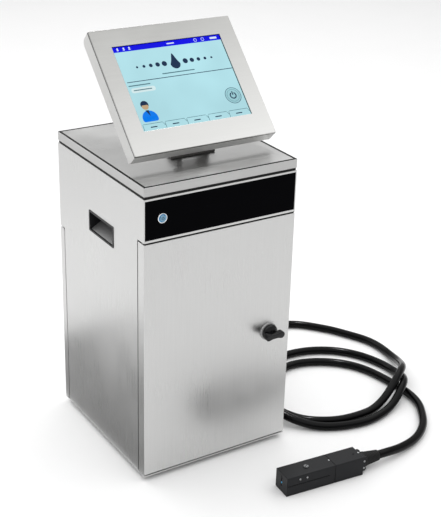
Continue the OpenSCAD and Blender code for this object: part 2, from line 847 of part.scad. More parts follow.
module tilt_pin() {
  side_x = knuckle_w / 2 + ear_gap + ear_t;
  color("silver") {
    rod_x(-side_x - 2, side_x + 2, pin_y, pin_z, tilt_r);
    rod_x(side_x, side_x + 4, pin_y, pin_z, tilt_r + 3);
    rod_x(-side_x - 4, -side_x, pin_y, pin_z, tilt_r + 3);
  }
}

// Side view of the housing, drawn with the face to the right: X is the depth, Y the height
module housing_outline(inset, top_r) {
  low = -scr_h / 2 + inset;
  high = scr_h / 2 - inset;
  back = -scr_t + inset;
  difference() {
    translate([back, low]) square([-bezel_t - back, high - low]);
    translate([back, high - top_r]) square(top_r);
    translate([back, low]) square(5);
  }
  translate([back + top_r, high - top_r]) circle(r = top_r);
  translate([back + 5, low + 5]) circle(r = 5);
}

module screen_housing() {
  color("lightgray") on_screen() difference() {
    union() {
      difference() {
        rotate([90, 0, 90]) rotate([0, 0, 90]) mirror([0, 1, 0])
          linear_extrude(scr_w, center = true) housing_outline(0, 12);
        rotate([90, 0, 90]) rotate([0, 0, 90]) mirror([0, 1, 0])
          linear_extrude(scr_w - 2 * shell_t, center = true) {
            housing_outline(shell_t, 10);
            translate([-10, -scr_h / 2 + shell_t]) square([10, scr_h - 2 * shell_t]);
          }
      }
      span([-knuckle_w / 2, -pin_down - knuckle_r, -scr_t - pin_back],
        [knuckle_w / 2, -pin_down + knuckle_r, -scr_t + 1]);
      rod_x(-knuckle_w / 2, knuckle_w / 2, -pin_down, -scr_t - pin_back, knuckle_r);
      for (x = [-1, 1], y = [-1, 1])
        translate([x * (lcd_w / 2 - 6), y * (lcd_h / 2 - 6) + lcd_up, -scr_t + 1])
          cylinder(r = 4, h = scr_t - 15);
    }
    rod_x(-knuckle_w, knuckle_w, -pin_down, -scr_t - pin_back, tilt_r + run_fit);
  }
}

module screen_bezel() {
  color("gainsboro") on_screen() difference() {
    translate([0, 0, -bezel_t]) linear_extrude(bezel_t) round_rect(scr_w, scr_h, 2);
    translate([0, lcd_up, 0]) cube([lcd_w, lcd_h, 4 * bezel_t], center = true);
    translate([0, lcd_up, -bezel_t])
      cube([lcd_w + 2 * glass_lap + 0.4, lcd_h + 2 * glass_lap + 0.4, 3], center = true);
  }
}

module touch_panel() {
  color("paleturquoise") on_screen() translate([0, lcd_up, -4.1])
    cube([lcd_w + 2 * glass_lap, lcd_h + 2 * glass_lap, 3.8], center = true);
}

module display_module() {
  color("darkgreen") on_screen() {
    translate([0, lcd_up, -10]) cube([lcd_w, lcd_h, 7.8], center = true);
    translate([0, lcd_up, -20]) cube([130, 96, 1.6], center = true);
    for (x = [-1, 1], y = [-1, 1]) translate([x * 58, y * 42 + lcd_up, -20]) cylinder(r = 3, h = 7);
    translate([-20, lcd_up + 10, -23]) cube([30, 30, 4.5], center = true);
    translate([30, lcd_up - 20, -22]) cube([16, 40, 3], center = true);
  }
}

// ---- Umbilical and print head ----

module umbilical_gland() {
  color("black") {
    rod_x(in_w - 8, half_w, gland_y, gland_z, 15.8);
    translate([in_w - 7, gland_y, gland_z]) rotate([0, 90, 0]) cylinder(r = 22, h = 7, $fn = 6);
    translate([half_w, gland_y, gland_z]) rotate([0, 90, 0]) {
      cylinder(r = 21, h = 8, $fn = 6);
      rotate_extrude() polygon([[0, 8], [17.5, 8], [17.5, 26], [15, 32], [12, gland_l - 1],
        [11, gland_l], [0, gland_l]]);
    }
  }
}

module umbilical_hose() {
  color("black") sweep(hose_route, hose_r, 8);
}

module hose_boot() {
  s = cover_l + rear_l + flange_l;
  color("black") on_head() translate([s, 0, boot_z]) rotate([0, 90, 0]) rotate_extrude()
    polygon([[0, 0], [13, 0], [13, 5], [11.5, 9], [11, 28], [10, boot_l], [0, boot_l]]);
}

module head_flange() {
  s = cover_l + rear_l;
  color("dimgray") on_head() {
    translate([s, 0, boot_z]) rotate([90, 0, 90]) linear_extrude(flange_l) round_rect(32, 30, 3);
    for (y = [-1, 1], z = [-1, 1])
      rod_x(s + flange_l, s + flange_l + 2.5, y * 12.2, boot_z + z * 11.2, 2.4);
  }
}

module head_body() {
  s = cover_l;
  color("dimgray") on_head() {
    translate([s, 0, head_h / 2]) rotate([90, 0, 90]) linear_extrude(rear_l) round_rect(head_w, head_h, 2);
    translate([cover_l - 10, 0, head_h / 2]) rotate([90, 0, 90]) linear_extrude(10)
      difference() {
        round_rect(head_w - 2 * cover_t - 0.6, head_h - 2 * cover_t - 0.6, 1.5);
        translate([0, 2]) square([head_w - 16, head_h - 18], center = true);
      }
    for (k = [0, 1]) translate([s + 59.3 - 12 * k, -1.9, head_h]) cylinder(r = 1.6, h = 0.6);
  }
}

module head_deck() {
  color("silver") on_head() {
    span([8, -head_w / 2 + cover_t + 1, cover_t + 1], [cover_l - 10, head_w / 2 - cover_t - 1, deck_h]);
    span([60, -12, deck_h], [84, 12, deck_h + 12]);
  }
}

module nozzle_unit() {
  color("gold") on_head() {
    rod_x(50, 60, 0, deck_h + 10, 5);
    rod_x(42, 50, 0, deck_h + 10, 3);
    span([48, -7, deck_h], [58, 7, deck_h + 5]);
  }
}

module deflector_plates() {
  color("silver") on_head() for (side = [-1, 1]) {
    span([18, side * 4.5 - 0.8, deck_h + 3], [38, side * 4.5 + 0.8, deck_h + 16]);
    span([22, side * 4.5 - 2.5, deck_h], [34, side * 4.5 + 2.5, deck_h + 3]);
  }
}

module ink_gutter() {
  color("silver") on_head() {
    rod_x(9, 16, 0, deck_h + 10, 1.6);
    span([10, -3, deck_h], [15, 3, deck_h + 9]);
  }
}

module head_cover() {
  inner_w = head_w - 2 * cover_t;
  inner_h = head_h - 2 * cover_t;
  color("dimgray") on_head() difference() {
    translate([0, 0, head_h / 2]) rotate([90, 0, 90])
      linear_extrude(cover_l - cover_gap) round_rect(head_w, head_h, 2);
    translate([cover_t, 0, head_h / 2]) rotate([90, 0, 90])
      linear_extrude(cover_l) round_rect(inner_w, inner_h, 1);
    translate([0, 0, deck_h + 12]) cube([4 * cover_t, 3, 16], center = true);
    span([-1, -head_w / 2 - 1, 20], [88, -head_w / 2 + 0.6, 21]);
    translate([screw_s, 0, head_h - 2 * cover_t]) cylinder(r = screw_r + run_fit, h = 3 * cover_t);
    for (s = [26.4, 41]) translate([s, -head_w / 2 + 2, 30]) rotate([90, 0, 0]) cylinder(r = 1.6, h = 3);
  }
}

module cover_screw() {
  color("silver") on_head() translate([screw_s, 0, head_h]) difference() {
    union() {
      translate([0, 0, 0.2]) cylinder(r = 4.5, h = 2);
      translate([0, 0, -cover_t - 1.5]) cylinder(r = screw_r, h = cover_t + 2);
    }
    translate([0, 0, 2]) cube([12, 1.2, 1.6], center = true);
  }
}

base_pan();
rubber_feet();
stand_inserts();
cabinet_shell();
compartment_shelf();
rear_panel();
control_panel();
lid_seal();
lid();
left_handle_cup();
right_handle_cup();
button_barrel();
button_cap();
door_pivots();
front_door();
door_gasket();
latch_barrel();
latch_knob();
latch_cam();
rear_door();
rear_latch_upper();
rear_latch_lower();
controller_board();
power_supply();
fan_housing();
fan_rotor();
fan_guard();
mains_inlet();
switch_frame();
switch_rocker();
data_sockets();
hydraulics_plate();
ink_tank();
ink_tank_cap();
makeup_tank();
makeup_tank_cap();
pump_motor();
pump_coupler();
pump_head();
filter_canisters();
valve_manifold();
solenoid_valves();
fluid_tubes();
screen_stand();
tilt_pin();
screen_housing();
screen_bezel();
touch_panel();
display_module();
umbilical_gland();
umbilical_hose();
hose_boot();
head_body();
head_flange();
head_deck();
head_cover();
cover_screw();
nozzle_unit();
deflector_plates();
ink_gutter();
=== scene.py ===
import json
import math
import bmesh
import bpy
import numpy as np
from mathutils import Matrix, Vector


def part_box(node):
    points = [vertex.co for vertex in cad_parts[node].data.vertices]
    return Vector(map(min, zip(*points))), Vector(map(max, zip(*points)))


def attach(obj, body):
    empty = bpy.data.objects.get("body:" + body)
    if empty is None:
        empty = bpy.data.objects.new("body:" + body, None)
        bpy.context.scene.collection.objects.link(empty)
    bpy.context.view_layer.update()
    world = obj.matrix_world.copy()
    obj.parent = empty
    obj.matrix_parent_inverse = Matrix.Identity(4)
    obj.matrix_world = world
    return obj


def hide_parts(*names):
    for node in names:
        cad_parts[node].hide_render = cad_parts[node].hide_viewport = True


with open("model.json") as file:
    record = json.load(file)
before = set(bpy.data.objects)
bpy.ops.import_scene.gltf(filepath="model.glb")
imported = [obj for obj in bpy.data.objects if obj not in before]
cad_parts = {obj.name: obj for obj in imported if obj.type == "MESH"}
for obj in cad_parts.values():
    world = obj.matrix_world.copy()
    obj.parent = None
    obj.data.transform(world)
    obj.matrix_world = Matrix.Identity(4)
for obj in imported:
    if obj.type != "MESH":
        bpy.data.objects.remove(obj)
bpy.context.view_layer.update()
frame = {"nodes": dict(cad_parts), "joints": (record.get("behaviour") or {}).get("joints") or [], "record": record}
cadNodes = frame["nodes"]
jointAt = {j["name"]: Vector(j["pos_m"]) for j in frame["joints"] if "pos_m" in j}
bodyOf = {n: b for b, names in frame["record"]["behaviour"]["bodies"].items() for n in names}
slotOf = {p["node"]: p["material_slot"] for p in frame["record"]["subparts"]}
mm = 0.001

# camera

shot = {"place": (-0.9986, -1.7249, 1.2487), "azimuth": -32.543, "elevation": 24.415,
        "roll": 1.595, "lens": 83.0, "sensor": 36, "clip": (0.05, 60)}


def makeCamera(s):
    azimuth, elevation, roll = (math.radians(s[k]) for k in ("azimuth", "elevation", "roll"))
    back = Vector((math.sin(azimuth) * math.cos(elevation),
                   -math.cos(azimuth) * math.cos(elevation), math.sin(elevation)))
    level = Vector((math.cos(azimuth), math.sin(azimuth), 0))
    upright = back.cross(level)
    right = level * math.cos(roll) + upright * math.sin(roll)
    up = upright * math.cos(roll) - level * math.sin(roll)
    data = bpy.data.cameras.new("camera")
    data.lens = s["lens"]
    data.sensor_width = s["sensor"]
    data.clip_start, data.clip_end = s["clip"]
    camera = bpy.data.objects.new("camera", data)
    bpy.context.scene.collection.objects.link(camera)
    turn = Matrix((right, up, back)).transposed().to_4x4()
    camera.matrix_world = Matrix.Translation(s["place"]) @ turn
    bpy.context.scene.camera = camera


makeCamera(shot)
print("camera done")

# node trees


def addNode(tree, kind, values=None, **settings):
    # values fills or links the node's sockets, by name or number
    node = tree.nodes.new(kind)
    for key, value in settings.items():
        setattr(node, key, value)
    for key, value in (values or {}).items():
        if isinstance(value, bpy.types.NodeSocket):
            tree.links.new(value, node.inputs[key])
        else:
            node.inputs[key].default_value = value
    return node


def newMaterial(name, values):
    material = bpy.data.materials.new(name)
    material.use_nodes = True
    tree = material.node_tree
    tree.nodes.clear()
    shader = addNode(tree, "ShaderNodeBsdfPrincipled", values)
    addNode(tree, "ShaderNodeOutputMaterial", {"Surface": shader.outputs[0]})
    return material, tree, shader


def noise(tree, stretch, detail=3.0):
    # noise on object coordinates; stretch is how many grains there are to a metre each way
    place = addNode(tree, "ShaderNodeTexCoord")
    scaled = addNode(tree, "ShaderNodeMapping", {"Vector": place.outputs["Object"], "Scale": stretch})
    made = addNode(tree, "ShaderNodeTexNoise",
                   {"Vector": scaled.outputs[0], "Scale": 1.0, "Detail": detail})
    return made.outputs[0]


# noise stays mostly within noiseSpan, so that span is what is spread from low to high
noiseSpan = (0.3, 0.7)


def remap(tree, value, low, high, span=noiseSpan):
    made = addNode(tree, "ShaderNodeMapRange", {"Value": value, "From Min": span[0],
                                                "From Max": span[1], "To Min": low, "To Max": high})
    return made.outputs[0]


def mixTones(tree, amount, a, b):
    made = addNode(tree, "ShaderNodeMix", {0: amount, 6: (*a, 1), 7: (*b, 1)}, data_type="RGBA")
    return made.outputs[2]


# One finish: grain moves its tone, its roughness and its relief, and wide clouds dull it in patches.
def surface(name, tone, rough, grain=(900, 900, 900), vary=0.06, relief=0.08, depth=0.0002,
            cloud=7.0, dull=0.06, **values):
    sockets = {k.replace("_", " "): v for k, v in values.items()}
    material, tree, shader = newMaterial(name, sockets)
    fine = noise(tree, grain)
    wide = noise(tree, (cloud, cloud, cloud), 4.0)
    pale = tuple(min(1, c * (1 + vary)) for c in tone)
    deep = tuple(c * (1 - vary) for c in tone)
    half = addNode(tree, "ShaderNodeMath", {0: fine, 1: wide}, operation="ADD")
    both = addNode(tree, "ShaderNodeMath", {0: half.outputs[0], 1: 0.5}, operation="MULTIPLY")
    tree.links.new(mixTones(tree, remap(tree, both.outputs[0], 0, 1), deep, pale),
                   shader.inputs["Base Color"])
    base = addNode(tree, "ShaderNodeMath", {0: remap(tree, fine, rough[0], rough[1]),
                                            1: remap(tree, wide, -dull, dull)}, operation="ADD")
    tree.links.new(base.outputs[0], shader.inputs["Roughness"])
    bump = addNode(tree, "ShaderNodeBump", {"Strength": relief, "Distance": depth, "Height": fine})
    tree.links.new(bump.outputs[0], shader.inputs["Normal"])
    return material


steelTone = (0.60, 0.60, 0.595)
alongZ, alongX = (1500, 1500, 9), (9, 1500, 1500)
looks = {
    "steelUpright": surface("steelUpright", steelTone, (0.27, 0.40), alongZ, 0.07, 0.10, Metallic=1.0),
    "steelLevel": surface("steelLevel", steelTone, (0.25, 0.38), alongX, 0.07, 0.10, Metallic=1.0),
    "bezelSteel": surface("bezelSteel", (0.62, 0.62, 0.612), (0.33, 0.43), alongX, 0.05, 0.07,
                          Metallic=1.0),
    "lidSteel": surface("lidSteel", (0.50, 0.50, 0.495), (0.30, 0.42), alongX, 0.10, 0.12, Metallic=1.0),
    "shellGrey": surface("shellGrey", (0.60, 0.60, 0.59), (0.36, 0.46), (1800, 1800, 1800), 0.03, 0.10,
                         Metallic=0.6),
    "plated": surface("plated", (0.56, 0.57, 0.58), (0.26, 0.36), (260, 260, 260), 0.06, 0.04,
                      Metallic=1.0),
    "chrome": surface("chrome", (0.83, 0.84, 0.85), (0.05, 0.09), (300, 300, 300), 0.02, 0.01,
                      dull=0.02, Metallic=1.0),
    "machined": surface("machined", (0.66, 0.67, 0.69), (0.22, 0.34), (1600, 40, 1600), 0.05, 0.08,
                        Metallic=1.0),
    "brass": surface("brass", (0.72, 0.55, 0.24), (0.2, 0.3), (30, 1400, 1400), 0.06, 0.06,
                     Metallic=1.0),
    "panelGloss": surface("panelGloss", (0.0015, 0.0015, 0.002), (0.05, 0.09), (60, 60, 60), 0.1,
                          0.01, dull=0.015, Specular_IOR_Level=0.012),
    "blackPlastic": surface("blackPlastic", (0.010, 0.010, 0.011), (0.38, 0.48), (1700, 1700, 1700),
                            0.12, 0.22, Specular_IOR_Level=0.35),
    "latchGloss": surface("latchGloss", (0.004, 0.004, 0.005), (0.12, 0.18), (220, 220, 220), 0.1, 0.02,
                          Specular_IOR_Level=0.3),
    "latchGrey": surface("latchGrey", (0.42, 0.42, 0.42), (0.38, 0.48), (1500, 1500, 1500), 0.04, 0.15),
    # gripFloor's grey partly paints the light on the handle recess floor
    "gripFloor": surface("gripFloor", (0.20, 0.20, 0.20), (0.36, 0.46), (1500, 1500, 1500), 0.06, 0.12,
                         Metallic=0.4),
    "capSteel": surface("capSteel", (0.16, 0.30, 0.42), (0.12, 0.2), (300, 300, 300), 0.10, 0.02,
                        Metallic=0.8),
    "rubber": surface("rubber", (0.007, 0.007, 0.007), (0.55, 0.68), (1200, 1200, 1200), 0.15, 0.25,
                      Specular_IOR_Level=0.25),
    "hoseSkin": surface("hoseSkin", (0.0015, 0.0015, 0.0017), (0.10, 0.16), (700, 700, 700), 0.15,
                        0.05, dull=0.02, Specular_IOR_Level=0.11),
    "headPaint": surface("headPaint", (0.006, 0.0065, 0.008), (0.40, 0.50), (2200, 2200, 2200), 0.10,
                         0.28, Specular_IOR_Level=0.22),
    # headSlit is painted shade of the openings in the head's cover
    "headSlit": surface("headSlit", (0.002, 0.002, 0.002), (0.6, 0.7), Specular_IOR_Level=0.1),
    # near black: black trim and printed ticks, and painted shade in gaps, slots, holes and recesses
    "seam": surface("seam", (0.004, 0.004, 0.004), (0.5, 0.6), Specular_IOR_Level=0.1),
    # the stand's dark tone is partly painted shade: it stands in for the shade under the screen
    "standDark": surface("standDark", (0.10, 0.098, 0.094), (0.4, 0.5), (1400, 1400, 1400), 0.08, 0.2),
    "buttonBlue": surface("buttonBlue", (0.10, 0.42, 0.75), (0.08, 0.14), (300, 300, 300), 0.10, 0.02,
                          Metallic=0.35, Emission_Color=(0.15, 0.55, 1.0, 1), Emission_Strength=0.18),
    "board": surface("board", (0.012, 0.115, 0.045), (0.28, 0.36), (420, 420, 420), 0.18, 0.06,
                     Coat_Weight=0.2),
    "tank": surface("tank", (0.80, 0.79, 0.72), (0.34, 0.44), (160, 160, 160), 0.03, 0.12,
                    Subsurface_Weight=0.25, Subsurface_Radius=(0.02, 0.02, 0.015)),
    "ink": surface("ink", (0.02, 0.02, 0.03), (0.2, 0.3), (60, 60, 60), 0.1, 0.02),
    "capBlue": surface("capBlue", (0.02, 0.12, 0.52), (0.32, 0.42), (1300, 1300, 1300), 0.06, 0.12),
    "rockerRed": surface("rockerRed", (0.55, 0.02, 0.015), (0.22, 0.30), (500, 500, 500), 0.05, 0.05),
    "motor": surface("motor", (0.18, 0.185, 0.19), (0.38, 0.48), (1500, 1500, 1500), 0.06, 0.15,
                     Metallic=0.3),
    "clear": surface("clear", (0.86, 0.90, 0.90), (0.06, 0.12), (90, 90, 90), 0.02, 0.02,
                     Transmission_Weight=0.75, IOR=1.45),
    "cartridge": surface("cartridge", (0.72, 0.71, 0.66), (0.6, 0.7), (300, 300, 900), 0.10, 0.3),
    "chip": surface("chip", (0.018, 0.018, 0.019), (0.35, 0.45), (900, 900, 900), 0.1, 0.08),
    "cardGrey": surface("cardGrey", (0.30, 0.30, 0.30), (0.8, 0.9)),
    "label": surface("label", (0.83, 0.83, 0.80), (0.45, 0.55), (600, 600, 600), 0.02, 0.03),
}
slotLook = {"stainless": "steelUpright", "rubber_black": "rubber", "plated_steel": "plated",
            "panel_black": "panelGloss", "black_plastic": "blackPlastic", "chrome": "chrome",
            "button_lens": "chrome", "latch_grey": "latchGrey", "latch_black": "latchGloss",
            "board_green": "board", "rocker_red": "rockerRed", "tank_natural": "tank",
            "cap_blue": "capBlue", "motor_grey": "motor", "coupler_brass": "brass",
            "machined_steel": "machined", "filter_clear": "clear", "tube_clear": "clear",
            "stand_dark": "standDark", "screen_shell": "shellGrey", "screen_face": "bezelSteel",
            "display": "panelGloss", "hose_black": "hoseSkin", "head_dark": "headPaint"}
nodeLook = {"lid": "lidSteel", "compartment_shelf": "steelLevel", "rear_panel": "steelLevel"}


# down and across are the heights and widths, in metres, between which each share of the painted shade grows
bezelPaintedShade = {"down": (0.77, 0.60), "downShare": 0.7, "across": (-0.14, 0.14), "acrossShare": 0.3,
              "deep": (0.38, 0.38, 0.374), "pale": (0.90, 0.90, 0.895)}


# Painted shade: the screen's face plate is painted darker at its upper left than at its lower right, standing in
# for the way its reflections fall.
def paintBezelShade(material, b):
    tree = material.node_tree
    shader = next(n for n in tree.nodes if n.type == "BSDF_PRINCIPLED")
    grain = shader.inputs["Base Color"].links[0].from_socket
    place = addNode(tree, "ShaderNodeTexCoord")
    parts = addNode(tree, "ShaderNodeSeparateXYZ", {0: place.outputs["Object"]})
    down = remap(tree, parts.outputs[2], 0.0, b["downShare"], b["down"])
    across = remap(tree, parts.outputs[0], 0.0, b["acrossShare"], b["across"])
    amount = addNode(tree, "ShaderNodeMath", {0: down, 1: across}, operation="ADD")
    shade = mixTones(tree, amount.outputs[0], b["deep"], b["pale"])
    both = addNode(tree, "ShaderNodeMix", {0: 1.0, 6: grain, 7: shade}, data_type="RGBA",
                   blend_type="MULTIPLY")
    tree.links.new(both.outputs[2], shader.inputs["Base Color"])


# the face plate gets its painted shade
paintBezelShade(looks["bezelSteel"], bezelPaintedShade)


def lookOf(node):
    return looks[nodeLook.get(node, slotLook[slotOf[node]])]


def dressNodes():
    for name, node in cadNodes.items():
        node.data.materials.clear()
        node.data.materials.append(lookOf(name))


dressNodes()
print("finishes done")

# meshes: everything is built in millimetres and shrunk to metres at the end


def meshObject(name, mesh):
    made = bpy.data.objects.new(name, mesh)
    bpy.context.scene.collection.objects.link(made)
    return made


def finishMesh(name, bm, finishes, smooth):
    bmesh.ops.recalc_face_normals(bm, faces=bm.faces)
    bm.transform(Matrix.Scale(mm, 4))
    mesh = bpy.data.meshes.new(name)
    bm.to_mesh(mesh)
    bm.free()
    for finish in finishes:
        mesh.materials.append(finish)
    mesh.shade_smooth()
    mesh.set_sharp_from_angle(angle=math.radians(smooth))
    return meshObject(name, mesh)


def settle(name, bm, finishes, body, smooth=35):
    made = finishMesh(name, bm, finishes, smooth)
    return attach(made, body)


def addBlock(bm, low, high, place=Matrix(), soft=0.0, steps=2, skin=0):
    low, high = Vector(low), Vector(high)
    size = high - low
    part = bmesh.new()
    bmesh.ops.create_cube(part, size=1)
    part.transform(Matrix.Translation((low + high) / 2) @ Matrix.Diagonal((*size, 1)))
    if soft:
        bmesh.ops.bevel(part, geom=part.edges[:], offset=soft, segments=steps, affect="EDGES",
                        profile=0.5)
    addPart(bm, part, place, skin)


def addPart(bm, part, place=Matrix(), skin=0):
    part.transform(place)
    for face in part.faces:
        face.material_index = skin
    mesh = bpy.data.meshes.new("part")
    part.to_mesh(mesh)
    part.free()
    bm.from_mesh(mesh)
    bpy.data.meshes.remove(mesh)


# outline is a list of (radius, height) from the bottom of the axis to its top
def addTurned(bm, outline, place=Matrix(), steps=48, skin=0):
    part = bmesh.new()
    rings = []
    for radius, height in outline:
        if radius < 1e-6:
            rings.append([part.verts.new((0, 0, height))])
            continue
        rings.append([part.verts.new((radius * math.cos(2 * math.pi * k / steps),
                                      radius * math.sin(2 * math.pi * k / steps), height))
                      for k in range(steps)])
    for a, b in zip(rings, rings[1:]):
        for k in range(steps):
            n = (k + 1) % steps
            corners = list(dict.fromkeys((a[k % len(a)], a[n % len(a)], b[n % len(b)], b[k % len(b)])))
            if len(corners) > 2:
                part.faces.new(corners)
    bmesh.ops.remove_doubles(part, verts=part.verts, dist=1e-5)
    addPart(bm, part, place, skin)


# a flat outline of (x, y) points, thick from z0 to z1
def addPlate(bm, points, z0, z1, place=Matrix(), soft=0.0, steps=2, skin=0):
    part = bmesh.new()
    face = part.faces.new([part.verts.new((x, y, z0)) for x, y in points])
    up = bmesh.ops.extrude_face_region(part, geom=[face])["geom"]
    bmesh.ops.translate(part, vec=(0, 0, z1 - z0),
                        verts=[g for g in up if isinstance(g, bmesh.types.BMVert)])
    if soft:
        rims = [e for e in part.edges if abs(e.verts[0].co.z - e.verts[1].co.z) < 1e-6]
        bmesh.ops.bevel(part, geom=rims, offset=soft, segments=steps, affect="EDGES", profile=0.5)
    addPart(bm, part, place, skin)


# A thin closed sheet: rows of points make one face, and the other lies thick below it
def addSheet(bm, rows, thick, place=Matrix(), skin=0):
    part = bmesh.new()
    rows = [[Vector(p) for p in row] for row in rows]
    last, end = len(rows) - 1, len(rows[0]) - 1
    outer, inner = [], []
    for i, row in enumerate(rows):
        outer.append([part.verts.new(p) for p in row])
        line = []
        for k, p in enumerate(row):
            across = row[min(k + 1, end)] - row[max(k - 1, 0)]
            along = rows[min(i + 1, last)][k] - rows[max(i - 1, 0)][k]
            line.append(part.verts.new(p - across.cross(along).normalized() * thick))
        inner.append(line)
    for grid in (outer, inner):
        for a, b in zip(grid, grid[1:]):
            for k in range(end):
                part.faces.new((a[k], a[k + 1], b[k + 1], b[k]))
    for i in (0, last):
        for k in range(end):
            part.faces.new((outer[i][k], outer[i][k + 1], inner[i][k + 1], inner[i][k]))
    for k in (0, end):
        for i in range(last):
            part.faces.new((outer[i][k], outer[i + 1][k], inner[i + 1][k], inner[i][k]))
    addPart(bm, part, place, skin)


def arc(x, y, radius, start, end, steps=8):
    return [(x + radius * math.cos(math.radians(start + (end - start) * k / steps)),
             y + radius * math.sin(math.radians(start + (end - start) * k / steps)))
            for k in range(steps + 1)]


def roundRect(x, y, w, h, r, steps=5):
    corners = [(1, 1, 0), (-1, 1, 90), (-1, -1, 180), (1, -1, 270)]
    return [p for sx, sy, a in corners
            for p in arc(x + sx * (w / 2 - r), y + sy * (h / 2 - r), r, a, a + 90, steps)]


def hexOutline(r, start=30):
    return [(r * math.cos(math.radians(a)), r * math.sin(math.radians(a)))
            for a in range(start, start + 360, 60)]


def facing(at, direction):
    # a frame at a point whose Z looks along direction
    return Matrix.Translation(at) @ Vector(direction).to_track_quat("Z", "Y").to_matrix().to_4x4()


# Angles in degrees: faces flatter than flat are joined, and edges past sharp stay sharp
softening = {"weld": 1e-6, "flat": 1.5, "sharp": 30, "bevel": 32}


# A CAD node's own shape with its edges rounded, which stands for the node.
def softened(node, width, finish=None, steps=2):
    bm = bmesh.new()
    bm.from_mesh(cadNodes[node].data)
    bmesh.ops.remove_doubles(bm, verts=bm.verts, dist=softening["weld"])
    bmesh.ops.dissolve_limit(bm, angle_limit=math.radians(softening["flat"]), verts=bm.verts,
                             edges=bm.edges)
    mesh = bpy.data.meshes.new(node + ".soft")
    bm.to_mesh(mesh)
    bm.free()
    mesh.materials.clear()
    mesh.materials.append(finish or lookOf(node))
    mesh.shade_smooth()
    mesh.set_sharp_from_angle(angle=math.radians(softening["sharp"]))
    made = meshObject(node + ".soft", mesh)
    edge = made.modifiers.new("edge", "BEVEL")
    edge.width = width * mm
    edge.segments = steps
    edge.limit_method = "ANGLE"
    edge.angle_limit = math.radians(softening["bevel"])
    edge.use_clamp_overlap = False
    edge.harden_normals = True
    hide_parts(node)
    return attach(made, bodyOf[node])


def span(node):
    low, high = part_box(node)
    return low / mm, high / mm


# hose between the cabinet and the print head

hose = {"diameter": 0.017, "ringStep": 0.0006, "ribPitch": 0.0036, "ribDepth": 0.06, "sides": 18,
        "floor": 0.0086, "step": 0.004}
hoseRoute = [
    (0.190, 0.115, 0.085), (0.206, 0.115, 0.085), (0.229, 0.1165, 0.0815), (0.252, 0.122, 0.072),
    (0.272, 0.133, 0.058), (0.291, 0.148, 0.042), (0.310, 0.167, 0.027), (0.331, 0.187, 0.0155),
    (0.356, 0.202, 0.010), (0.385, 0.208, 0.0085), (0.414, 0.202, 0.0085), (0.440, 0.185, 0.0085),
    (0.463, 0.160, 0.0085), (0.483, 0.134, 0.0085), (0.507, 0.092, 0.0085), (0.523, 0.058, 0.0085),
    (0.530, 0.015, 0.0085), (0.526, -0.023, 0.010), (0.515, -0.060, 0.017), (0.501, -0.087, 0.026),
    (0.485, -0.110, 0.035), (0.467, -0.127, 0.0395), (0.446, -0.142, 0.038), (0.423, -0.155, 0.030),
    (0.399, -0.166, 0.020), (0.373, -0.175, 0.012), (0.343, -0.182, 0.0085), (0.310, -0.183, 0.0085),
    (0.274, -0.178, 0.0085), (0.240, -0.163, 0.0085), (0.213, -0.141, 0.0085), (0.196, -0.110, 0.0085),
    (0.188, -0.078, 0.0085), (0.186, -0.045, 0.0085), (0.191, -0.010, 0.0085), (0.207, 0.025, 0.0085),
    (0.235, 0.054, 0.0085), (0.270, 0.074, 0.0085), (0.303, 0.083, 0.0085), (0.336, 0.086, 0.0085),
    (0.370, 0.082, 0.0085), (0.407, 0.068, 0.0085), (0.442, 0.042, 0.0085), (0.468, 0.006, 0.0085),
    (0.482, -0.030, 0.0085), (0.488, -0.062, 0.0085), (0.487, -0.088, 0.011), (0.481, -0.112, 0.017),
    (0.471, -0.133, 0.023), (0.457, -0.150, 0.027), (0.439, -0.165, 0.026), (0.419, -0.178, 0.020),
    (0.397, -0.189, 0.013), (0.370, -0.199, 0.009), (0.325, -0.208, 0.0085), (0.281, -0.203, 0.0085),
    (0.245, -0.190, 0.0085), (0.219, -0.174, 0.010), (0.197, -0.153, 0.014), (0.181, -0.129, 0.019),
    (0.173, -0.103, 0.024), (0.173, -0.077, 0.027), (0.181, -0.052, 0.028), (0.195, -0.029, 0.026),
    (0.214, -0.008, 0.020), (0.237, 0.012, 0.013), (0.262, 0.029, 0.0095), (0.290, 0.041, 0.0085),
    (0.320, 0.045, 0.0085), (0.350, 0.039, 0.0085), (0.380, 0.025, 0.0085), (0.410, 0.001, 0.0085),
    (0.431, -0.027, 0.0085), (0.444, -0.059, 0.0085), (0.451, -0.093, 0.0085), (0.455, -0.125, 0.0085),
    (0.457, -0.157, 0.0085), (0.455, -0.183, 0.0085), (0.447, -0.211, 0.0085), (0.431, -0.239, 0.0085),
    (0.411, -0.266, 0.0085), (0.386, -0.288, 0.0085), (0.358, -0.304, 0.009), (0.328, -0.314, 0.011),
    (0.300, -0.320, 0.014), (0.275, -0.323, 0.0175), (0.2517, -0.3235, 0.019)]


# A natural cubic spline through the points, with a sample about every step.
def smoothLine(points, step):
    p = np.array(points)
    gaps = np.linalg.norm(np.diff(p, axis=0), axis=1)
    n = len(p)
    rows, want = np.eye(n), np.zeros((n, 3))
    for i in range(1, n - 1):
        rows[i, i - 1:i + 2] = gaps[i - 1], 2 * (gaps[i - 1] + gaps[i]), gaps[i]
        want[i] = 6 * ((p[i + 1] - p[i]) / gaps[i] - (p[i] - p[i - 1]) / gaps[i - 1])
    bend = np.linalg.solve(rows, want)
    line = []
    for i, gap in enumerate(gaps):
        for t in np.linspace(0, gap, max(2, round(gap / step)), endpoint=False):
            a, b = gap - t, t
            line.append((bend[i] * a ** 3 + bend[i + 1] * b ** 3) / (6 * gap)
                        + (p[i] / gap - bend[i] * gap / 6) * a
                        + (p[i + 1] / gap - bend[i + 1] * gap / 6) * b)
    return np.array(line + [p[-1]])


